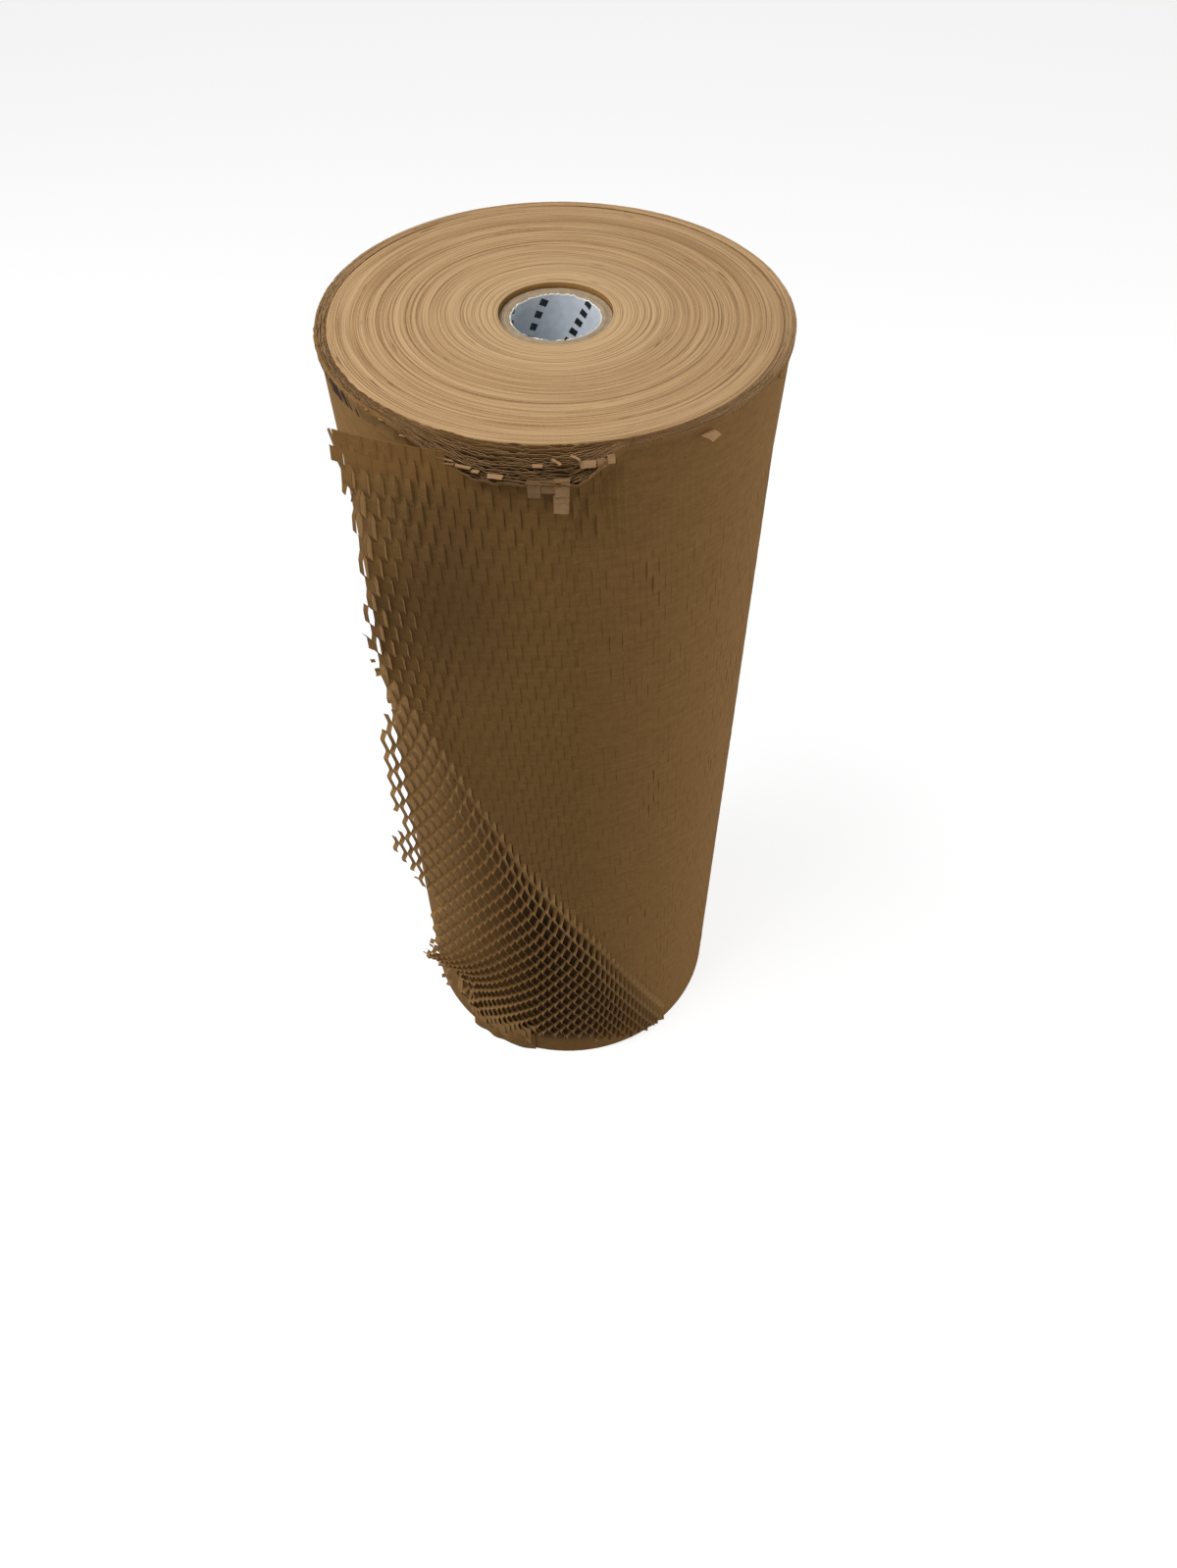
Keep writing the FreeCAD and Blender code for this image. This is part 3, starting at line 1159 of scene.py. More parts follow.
    def opening(self, place: np.ndarray, height: np.ndarray, row: np.ndarray) -> np.ndarray:
        """Angle by which a ribbon is turned out of the sheet.

        Nearly shut above the front, ajar towards the upper left corner, wide below
        it, and shut again where the hem is pressed flat.

        Args:
            place: places along the sheet.
            height: heights.
            row: rows below the front.

        Returns:
            Angles in degrees.
        """
        ajar = np.interp(place, self.corner_places, (self.corner_ajar, 0.0)) \
            * smooth(height, *self.top_shut)
        at_edge = smooth(place, *self.edge_places) * (height < self.edge_top)
        ajar = np.maximum(ajar, self.edge_ajar * at_edge)
        near_rim = smooth(height, *self.rim_heights) * smooth(place, *self.rim_places)
        random = wander2(place / self.ajar_grain[0], height / self.ajar_grain[1],
                         Seed.SHEET_AJAR, *self.ajar_knots)
        ajar = ajar + (self.ajar_mean + random) * (
            self.ajar + self.rim_ajar * near_rim + self.left_ajar * smooth(place, *self.left_places))
        wide = np.interp(place, self.first_places, self.first_angles) \
            + self.wider * smooth(row, *self.wider_rows) * smooth(place, *self.net_places)
        corner = smooth(place, *self.corner_shut_places) * smooth(height, *self.corner_shut_heights)
        wide = wide * (1.0 - self.pressed_shut * self.pressed(place, height)) \
            * (1.0 - self.corner_shut * corner)
        return ajar + (wide - ajar) * smooth(row, *self.front_rows)

    def off_roll(self, place: np.ndarray, height: np.ndarray, row: np.ndarray) -> np.ndarray:
        """Distance of the sheet's middle from the roll's surface or its flat extension.

        It rises at the front of the net, and swells at random where the lower left
        corner is crumpled and where the hem is pressed.

        Args:
            place: places along the sheet.
            height: heights.
            row: rows below the front.

        Returns:
            Distances outwards, in mm.
        """
        shut = np.interp(place, self.shut_places, self.shut_out)
        crumple = self.crumple * smooth(place, *self.crumple_places) \
            * smooth(height, *self.crumple_from) * smooth(height, *self.crumple_to) \
            * wander2(place / self.crumple_grain[0], height / self.crumple_grain[1], Seed.CRUMPLE)
        swell = self.pressed_swell * self.pressed(place, height) \
            * wander2(place / self.pressed_grain[0], height / self.pressed_grain[1],
                      Seed.PRESSED_HEM)
        sunk = self.sunk * smooth(row, *self.sunk_rows) * (place > self.sunk_place)
        return shut + (self.net_rise - shut) * smooth(row, *self.rise_rows) - sunk \
            + crumple + swell

    def bend(self, height: np.ndarray) -> np.ndarray:
        """Curvature of the free part: flat, but round the roll near the floor and the top."""
        return smooth(height, *self.floor_bend) / self.sizes.radius \
            + self.top_curvature * smooth(height, *self.top_bend)

    def on_sheet(self, place: np.ndarray, height: np.ndarray, out: np.ndarray) -> np.ndarray:
        """Points of the sheet: on the roll up to the lift-off, then along an arc.

        The arc starts along the tangent at the lift-off and turns by length times
        curvature, so that its chord is length * sinc(turn / 2) at half the turn.

        Args:
            place: places along the sheet.
            height: heights.
            out: distances outwards from the sheet.

        Returns:
            Array (..., 3) of points.
        """
        radius = self.sizes.radius
        kept = np.maximum(place, self.lift_place)
        angle = kept / radius
        length = kept - place
        turn = self.bend(height) * length
        chord = length * np.sinc(turn / 2.0 / np.pi)
        tangent = np.stack([-np.cos(angle), -np.sin(angle)], -1)
        normal = np.stack([np.sin(angle), -np.cos(angle)], -1)
        half, whole = (turn / 2.0)[..., None], turn[..., None]
        flat = radius * normal + chord[..., None] * (np.cos(half) * tangent - np.sin(half) * normal)
        facing = np.cos(whole) * normal + np.sin(whole) * tangent
        flat = flat + out[..., None] * facing
        return np.concatenate([flat, height[..., None]], -1)

    def ribbons(self) -> dict:
        """Both edges of every ribbon at the ends of its lands, in sheet coordinates.

        A ribbon lies between a column and the next. At even rows its left edge is a
        land of its own column, at odd rows its right edge is a land of the next one.
        The other edge lies a ribbon's width away, turned out by the opening angle.

        Returns:
            The left and the right edges, their rows, half the lands' heights, and how
            far each edge stands out of the sheet.
        """
        column = np.arange(self.first_column, self.last_column + 1)[:, None]
        row = np.arange(self.first_row, self.last_row + 1)[None, :]
        odd, even = row % 2, 1 - row % 2
        place, height = self.web_place(column + odd, row - odd)
        start = row - odd + 0 * column
        angle = np.radians(self.opening(place, height, start))
        base = self.off_roll(place, height, start)
        pitch = self.web_place(column + 1, row - 1)[0] - self.web_place(column, row)[0]
        pressed = self.pressed(place, height)
        shut = np.maximum(smooth(row, *self.shut_rows), pressed)
        gap = self.closed_gap * (1.0 + self.gap_gain * smooth(place, *self.left_places))
        first, last = self.slim_rows
        sooner, quicker = self.slim_rows_right
        slim = self.slim_ribbon - self.slim_right * smooth(place, *self.slim_places)
        slim = self.ribbon + (slim - self.ribbon) * smooth(place, *self.net_places) \
            * smooth(row, first - sooner * (place > 0.0),
                     last - quicker * smooth(place, *self.slim_rows_places))
        width = slim + (pitch - gap - slim) * shut
        across, out = width * np.cos(angle), width * np.sin(angle)
        shear = self.first_shear \
            + (self.shear - self.first_shear) * smooth(row, *self.shear_rows)
        lift = shear * out * smooth(row, *self.shear_from) \
            * (1.0 - self.shear_less * smooth(place, *self.shear_places))
        left = np.stack([place - odd * across, height - odd * lift, base - odd * out], -1)
        right = np.stack([place + even * across, height + even * lift, base + even * out], -1)
        land = self.land_half + (self.net_land_half - self.land_half) \
            * smooth(row, *self.land_rows) * (1.0 - pressed)
        return {"left": left, "right": right, "row": row + 0 * column, "land": land,
                "out": np.stack([-odd * out, even * out], -1)}

    def samples(self, edge: np.ndarray, land: np.ndarray) -> np.ndarray:
        """Four points for each row: top and bottom of the land, and two on the link.

        The link runs straight from the bottom of one land to the top of the next.

        Args:
            edge: array (ribbons, rows, 3) of an edge at its lands.
            land: half of each land's height.

        Returns:
            Array (ribbons, 4 * rows, 3).
        """
        reach = land[..., None] * np.array([0.0, 1.0, 0.0])
        top, foot = edge + reach, edge - reach
        after = np.concatenate([top[:, 1:], top[:, -1:] - [0.0, self.last_link, 0.0]], axis=1)
        links = [foot + (after - foot) * part for part in self.link_parts]
        return np.stack([top, foot, *links], 2).reshape(edge.shape[0], -1, 3)

    def inside(self, place: np.ndarray, height: np.ndarray, row: np.ndarray) -> np.ndarray:
        """Whether a bit of the web is there: within the torn edge, the hem and the top.

        Args:
            place: places along the sheet.
            height: heights.
            row: rows below the front.

        Returns:
            True where the web is there. To the right it is so only near the net, since
            above that it is still part of the roll's side.
        """
        torn = np.interp(height, self.tear_heights, self.tear_places) \
            + self.tear_depth * wander(height / self.tear_grain, Seed.TORN_EDGE)
        hem = np.interp(place, self.hem_places, self.hem_heights)
        top = np.interp(place, self.top_places, self.top_heights)
        lifted = (place < self.stuck_place) | (row > self.stuck_row)
        return (place > torn) & (height > hem) & (height < top) & lifted

    def shade_sheet(self, piece: bpy.types.Object, place: np.ndarray, height: np.ndarray,
                    row: np.ndarray, out: np.ndarray) -> None:
        """Say where the sheet is lit through, worn pale and in the shade.

        Painted light comes through at the upper left corner. Edges that stand out of the
        net get a painted highlight, the ones that lie deep in it get painted shade, and so
        does the upper part.

        Args:
            piece: the sheet.
            place: the points' places along the sheet.
            height: their heights.
            row: their rows below the front.
            out: how far they stand out of the sheet.
        """
        lit = smooth(height, *self.glow_heights) * smooth(place, *self.glow_places)
        set_values(piece, "light_through", self.glow * lit)
        # painted highlight on the lips that stand out and catch the overhead light
        painted_highlight = (1.0 - self.highlight_less * smooth(row, *self.highlight_rows)) * (row >= self.highlight_row) \
            * (1.0 - self.highlight_less_above * smooth(height, *self.highlight_heights))
        set_values(piece, "painted_highlight", painted_highlight * smooth(out, *self.highlight_out))
        # painted shade on edges deep in the net and on the upper part of the sheet
        deep = self.deep * (row > 0) * smooth(out, *self.deep_shade_out) \
            * smooth(place, *self.deep_shade_places) * smooth(height, *self.deep_shade_heights)
        upper = (self.shade + self.shade_more * smooth(height, *self.shade_more_heights)) \
            * smooth(height, *self.shade_heights) * smooth(place, *self.shade_places)
        set_values(piece, "painted_shade", np.maximum(deep, upper * (1.0 - lit)))

    def build(self) -> bpy.types.Object:
        """Join the ribbons at their lands and cut the sheet to its torn outline.

        A right edge on a land is the next ribbon's left edge one row up, so those
        points are shared.

        Returns:
            The piece.
        """
        data = self.ribbons()
        left = self.samples(data["left"], data["land"])
        right = self.samples(data["right"], data["land"])
        ribs, count = left.shape[:2]
        per_row = count // data["row"].shape[1]
        row = np.repeat(data["row"], per_row, axis=1)
        part = np.arange(count)[None, :] % per_row
        number = np.arange(ribs * count).reshape(ribs, count)
        left_id, right_id = number * 2, number * 2 + 1
        shared = (row[:-1, per_row:] % 2 == 1) & (part[:, per_row:] < 2)
        right_id[:-1, per_row:] = np.where(shared, left_id[1:, :-per_row],
                                           right_id[:-1, per_row:])
        sheet = np.stack([left, right], 2).reshape(-1, 3)
        quads = np.stack([left_id[:, 1:], right_id[:, 1:], right_id[:, :-1], left_id[:, :-1]], -1)
        corners = np.stack([left[:, 1:], right[:, 1:], left[:, :-1], right[:, :-1]])
        middle = corners.mean(0)
        keep = self.inside(middle[..., 0], middle[..., 1], row[:, 1:]) \
            & (corners[..., 1].max(0) > self.floor_height)
        points = self.on_sheet(sheet[:, 0], np.maximum(sheet[:, 1], self.least_height), sheet[:, 2])
        points, quads, used = drop_loose_points(points, quads[keep])
        piece = make_piece("loose_sheet", points, quads,
                           [self.finishes[Finish.FACE]], is_smooth=False)
        out = np.repeat(data["out"], per_row, axis=1).reshape(-1)[used]
        self.shade_sheet(piece, sheet[used, 0], sheet[used, 1], np.repeat(row, 2)[used], out)
        thicken(piece, self.thickness)
        return piece

    def hem_flap(self) -> bpy.types.Object:
        """The hem pressed smooth against the roll's foot, from the crumpled corner to a fold.

        Its upper edge rises and falls at random, and it stands off the roll in waves
        that run down it, most of all at the floor.

        Returns:
            The piece.
        """
        place = np.linspace(*self.flap_ends, self.flap_grid[0])[:, None]
        v = np.linspace(0.0, 1.0, self.flap_grid[1])[None, :]
        tall = self.flap_height + self.flap_rise * smooth(place, *self.flap_rise_places) \
            + self.flap_edge * wander(place / self.flap_edge_grain, Seed.HEM_EDGE)
        height = self.least_height + tall * v
        wave = wander2(place / self.flap_grain[0], height / self.flap_grain[1], Seed.HEM_WAVES)
        out = self.flap_out + self.flap_foot * (1.0 - v) ** 2 \
            + self.flap_wave * (wave - smooth(v, *self.flap_head))
        out = self.flap_end_out \
            + (out - self.flap_end_out) * smooth(place, *self.flap_end_places)
        points = self.on_sheet(place + 0 * v, height, out)
        quads = grid_quads(*height.shape)[:, ::-1]
        piece = make_piece("loose_sheet_hem", points, quads,
                           [self.finishes[Finish.FACE]])
        thicken(piece, self.thickness)
        return piece


# ---- Slack turns at the upper rim

class Edge(IntEnum):
    """Materials of the slack turns by number: the paper's flat side and its cut edge."""

    SIDE = 0
    CUT = 1


@dataclass(frozen=True)
class RimField:
    """A random field round the rim: its grain in mm, and its step from turn to turn."""

    grain: float
    step: float
    start: float
    seed: Seed

    def at(self, place: np.ndarray, number: np.ndarray) -> np.ndarray:
        """Values between -1 and 1 at arc lengths round the rim, for the turns' numbers."""
        return wander2(place / self.grain, number * self.step + self.start, self.seed)


@dataclass
class SlackTurns:
    """The last turns, slack at the rim: close together at the back, drooping in front.

    A turn's section is a loop of six corners: from the foot up the outer side over the
    shoulder to the edge, across the edge, and down the inner side. The real turns are
    0.12 mm thick: these are thicker and fewer, so that each one shows.
    """

    sizes: RollSizes
    finishes: dict
    turns: int = 22
    around: int = 740
    inner: float = 97.5
    tight_step: float = 0.23
    slack_step: float = 0.42
    fall: float = 0.53
    thickness: float = 0.19
    slack_thickness: float = 0.13
    depth: float = 12.0
    front_depth: float = 5.5
    front_from: tuple = (-50.0, -40.0)
    front_to: tuple = (22.0, 14.0)
    # where the rim is ruffled: middle and width in degrees
    left_ruffle: tuple = (-70.0, 34.0)
    right_ruffle: tuple = (62.0, 36.0)
    right_share: float = 0.15
    # the stepped upper edge
    stairs: RimField = RimField(3.3, 5.3, 1.0, Seed.RIM_STEPS)
    stair_steps: float = 2.6
    stair_rise: float = 0.3
    nicks: RimField = RimField(1.4, 7.1, 2.0, Seed.RIM_NICKS)
    nick: float = 0.25
    drift: RimField = RimField(41.0, 0.9, 5.0, Seed.RIM_DRIFT)
    stair: tuple = (0.12, 1.0, 1.1)
    edge_low: float = 0.35
    turn_low: float = 0.02
    left_low: float = 0.5
    droop_wave: float = 0.4
    # waves that part the turns
    waves: RimField = RimField(9.0, 2.3, 3.0, Seed.RIM_WAVES)
    frays: RimField = RimField(2.7, 3.1, 4.0, Seed.RIM_FRAY)
    frayed_turns: int = 4
    fray: float = 0.7
    wave: tuple = (0.1, 0.3, 0.16)
    # the section's foot, shoulder and edge
    foot_radius: float = 99.0
    foot_step: float = 0.07
    foot_least: float = 0.5
    shoulder: float = 1.6
    shoulder_in: float = 0.12
    edge_tilt: float = 0.1
    # painted shade in the gaps, and each corner's part of it
    ruffle_shade: float = 0.25
    first_shade: float = 0.35
    shaded_turns: float = 9.0
    corner_shade: tuple = (1.0, 1.0, 0.4, 0.3, 1.0, 1.0)

    def upper_edge(self, place: np.ndarray, number: np.ndarray, droop: np.ndarray,
                   left: np.ndarray, wave: np.ndarray) -> np.ndarray:
        """Height of each turn's upper edge.

        It falls from turn to turn with the droop, and steps up and down where slits
        run out of it.

        Args:
            place: arc lengths round the rim.
            number: numbers of the turns from the inmost.
            droop: share of the droop at each place.
            left: how ruffled the rim is.
            wave: the waves that part the turns.

        Returns:
            Heights, below the roll's top.
        """
        stair = self.stair_rise * np.round(self.stair_steps * self.stairs.at(place, number))
        stair = stair + self.nick * self.nicks.at(place, number)
        even, drooped, ruffled = self.stair
        top = self.sizes.height
        high = top - self.edge_low - self.turn_low * number - number * self.fall * droop \
            - (even + drooped * droop + ruffled * left) * np.abs(stair) \
            - self.left_low * left * (1.0 + self.drift.at(place, number)) \
            - self.droop_wave * droop * wave
        return np.minimum(high, top - self.turn_low)

    def build(self) -> bpy.types.Object:
        """Carry an upright section of each turn round the rim.

        Radius and height go from the tight turns' to the drooping turns' with the
        droop round the rim, and smooth random waves part one turn from the next.

        Returns:
            The piece.
        """
        number = np.arange(self.turns)[:, None]
        angle = round_angles(self.around).T
        degrees = np.degrees(angle)
        place = (angle + np.pi) * self.sizes.radius
        droop = self.sizes.droop(angle)
        left = bell(degrees, *self.left_ruffle) \
            + self.right_share * bell(degrees, *self.right_ruffle)
        wave = self.waves.at(place, number)
        frayed = np.abs(self.frays.at(place, number)) * (number >= self.turns - self.frayed_turns)
        even, drooped, ruffled = self.wave
        radius = self.inner \
            + number * (self.tight_step + (self.slack_step - self.tight_step) * droop) \
            + self.fray * left * frayed + (even + drooped * droop + ruffled * left) * wave
        high = self.upper_edge(place, number, droop, left, wave)
        in_front = smooth(degrees, *self.front_from) * smooth(degrees, *self.front_to)
        low = high - self.depth + (self.depth - self.front_depth) * in_front
        foot = np.minimum(radius - self.foot_least, self.foot_radius + self.foot_step * number)
        outer = radius + self.thickness + self.slack_thickness * droop
        bulge = self.shoulder_in * droop
        section = np.stack([polar(angle, foot + self.thickness, low),
                            polar(angle, outer - bulge * (outer - foot), high - self.shoulder),
                            polar(angle, outer, high),
                            polar(angle, radius, high - self.edge_tilt),
                            polar(angle, radius - bulge * (radius - foot), high - self.shoulder),
                            polar(angle, foot, low)], 2)
        turns, along, loop, _ = section.shape
        quads = repeated_quads(turns, grid_quads(along, loop, True, True), along * loop)
        which = [Edge.SIDE, Edge.SIDE, Edge.CUT, Edge.SIDE, Edge.SIDE, Edge.SIDE]
        piece = make_piece("slack_turns", section, quads[:, ::-1],
                           [self.finishes[Finish.FACE], self.finishes[Finish.EDGES]],
                           np.tile(which, turns * along), is_smooth=False)
        # painted shade in the gaps between the slack turns
        shade = np.minimum(self.ruffle_shade + droop + left, 1.0) * (number < turns - 1) \
            * (self.first_shade + (1.0 - self.first_shade) * smooth(number, 0.0, self.shaded_turns))
        set_values(piece, "painted_shade", shade[..., None] * np.array(self.corner_shade))
        return piece


@dataclass(frozen=True)
class Strip:
    """A torn strip of web: its root, its size, and which way it runs.

    It runs outward and up by rise degrees, slewed sideways by slew degrees, and bends
    by turn degrees up to its end.
    """

    angle: float
    radius: float
    height: float
    width: float
    length: float
    rise: float
    turn: float = 0.0
    slew: float = 0.0


@dataclass
class TornStrips:
    """Small strips of torn web that stick out or hang from the rim and the hem.

    They are drawn about twice as thick as the paper, as the loose sheet is.
    """

    finishes: dict
    thickness: float = 0.25
    steps: int = 9
    narrower: float = 0.08
    face_from: float = 58.0
    shade: float = 0.3
    shaded_rise: float = -75.0
    shaded_to: float = -1.0
    strips: tuple = (
        Strip(-22.4, 105.6, 492.9, 0.7, 7.0, 6.0, 8.0, -84.0),
        Strip(-22.2, 105.9, 491.8, 0.9, 7.2, -6.0, 0.0, -92.0),
        Strip(-20.2, 105.0, 491.6, 6.6, 1.5, -4.0),
        Strip(-17.6, 105.0, 490.5, 3.4, 1.6, -6.0),
        Strip(-13.3, 104.8, 489.8, 6.2, 2.2, -2.0, -34.0),
        Strip(-5.3, 105.6, 489.0, 5.4, 7.4, -82.0, -4.0),
        Strip(-2.4, 105.4, 489.0, 5.3, 5.4, -80.0, -3.0),
        Strip(0.5, 105.2, 489.5, 6.0, 7.4, -78.0, -4.0),
        Strip(0.3, 106.3, 482.6, 6.2, 7.6, -86.0, 10.0, -6.0),
        Strip(6.0, 102.8, 495.4, 6.4, 2.8, -34.0, -14.0),
        Strip(8.8, 103.0, 496.0, 3.2, 3.4, -70.0, 0.0),
        Strip(10.9, 103.2, 497.4, 3.0, 3.4, -64.0, 8.0),
        Strip(-1.5, 103.0, 496.6, 1.2, 4.4, 8.0, -30.0, 50.0),
        Strip(2.4, 102.4, 497.6, 1.2, 4.2, 10.0, -40.0, 58.0),
        Strip(-4.5, 103.2, 494.6, 4.0, 1.3, -10.0, -50.0),
        Strip(33.6, 102.2, 495.4, 6.4, 5.6, 12.0, -40.0, 18.0),
        Strip(-46.2, 116.4, 472.0, 1.3, 22.0, 42.0, 14.0, -104.0),
        Strip(-45.2, 115.6, 470.0, 1.6, 8.0, -60.0, -20.0, -60.0),
        Strip(-62.0, 101.2, 44.0, 3.2, 5.6, 30.0, -60.0, -50.0),
        Strip(-64.0, 100.8, 40.0, 2.6, 6.2, 10.0, 70.0, -30.0),
        Strip(-66.0, 100.4, 36.0, 3.0, 5.4, -20.0, 90.0, 20.0),
        Strip(-61.0, 101.2, 35.0, 2.2, 5.8, 40.0, -90.0, -60.0),
        Strip(-65.0, 100.6, 50.0, 2.4, 5.2, 50.0, -50.0, 10.0),
        Strip(-58.0, 101.8, 40.0, 2.8, 4.8, 0.0, 60.0, 50.0),
        Strip(-67.0, 100.4, 44.0, 3.0, 5.0, 20.0, 40.0, -20.0),
        Strip(-62.0, 101.0, 54.0, 2.0, 5.6, 60.0, -30.0, -40.0),
        Strip(-63.0, 101.0, 31.0, 3.4, 5.0, 50.0, -70.0, -30.0),
        Strip(-60.5, 101.4, 27.0, 2.8, 4.6, -10.0, 80.0, 10.0),
        Strip(-64.5, 100.6, 27.5, 2.6, 4.8, 30.0, 60.0, -60.0),
        Strip(-58.0, 101.6, 23.0, 3.0, 4.2, 20.0, -60.0, 30.0),
        Strip(-61.5, 101.0, 21.0, 2.4, 4.4, -30.0, 70.0, -20.0),
        Strip(-56.0, 101.8, 30.0, 2.2, 4.4, 60.0, -80.0, 40.0),
        Strip(61.5, 101.8, 498.6, 4.2, 3.2, -20.0, -50.0),
        Strip(63.5, 101.4, 497.2, 2.6, 3.6, -40.0, -30.0),
        Strip(-41.5, 101.8, 497.6, 3.6, 1.1, 4.0, -20.0, 20.0),
        Strip(-47.0, 101.6, 498.4, 4.4, 1.0, 6.0, -10.0, -24.0),
        Strip(-35.0, 102.6, 495.4, 4.6, 1.0, 2.0, -10.0, 16.0))

    def build(self) -> bpy.types.Object:
        """Sum each strip's direction along its length into two edges.

        Strips from the right of the rim are the web's own brown, the others pale, and
        the ones that hang at the front get painted shade.

        Returns:
            The piece.
        """
        angle, radius, height, width, length, rise, turn, slew = np.array(
            [astuple(strip) for strip in self.strips]).T[..., None]
        v = np.linspace(0.0, 1.0, self.steps)[None, :]
        heading = np.radians(rise) + np.radians(turn) * v
        step = length / (self.steps - 1)
        on, up = (np.cumsum(part, 1) * step - part * step
                  for part in (np.cos(heading), np.sin(heading)))
        around, aside = np.radians(angle), np.radians(slew)[..., None]
        outward = np.concatenate([np.sin(around), -np.cos(around)], 1)[:, None, :]
        sideways = np.concatenate([np.cos(around), np.sin(around)], 1)[:, None, :]
        run = np.cos(aside) * outward + np.sin(aside) * sideways
        across = np.cos(aside) * sideways - np.sin(aside) * outward
        spine = radius[..., None] * outward + on[..., None] * run
        half = (width / 2.0 * (1.0 - self.narrower * v))[..., None] * across
        edges = np.stack([spine - half, spine + half], 2)
        level = np.broadcast_to((height + up)[:, :, None, None], edges.shape[:3] + (1,))
        points = np.concatenate([edges, level], -1)
        quads = repeated_quads(len(points), grid_quads(self.steps, 2), self.steps * 2)
        is_pale = np.repeat(angle < self.face_from, self.steps - 1)
        piece = make_piece("torn_strips", points, quads,
                           [self.finishes[Finish.FACE], self.finishes[Finish.TORN]], is_pale,
                           is_smooth=False)
        # painted shade on the strips that hang at the front
        hangs = (rise < self.shaded_rise) & (angle < self.shaded_to)
        set_values(piece, "painted_shade", np.repeat(self.shade * hangs, self.steps * 2))
        thicken(piece, self.thickness)
        return piece


# ---- The core

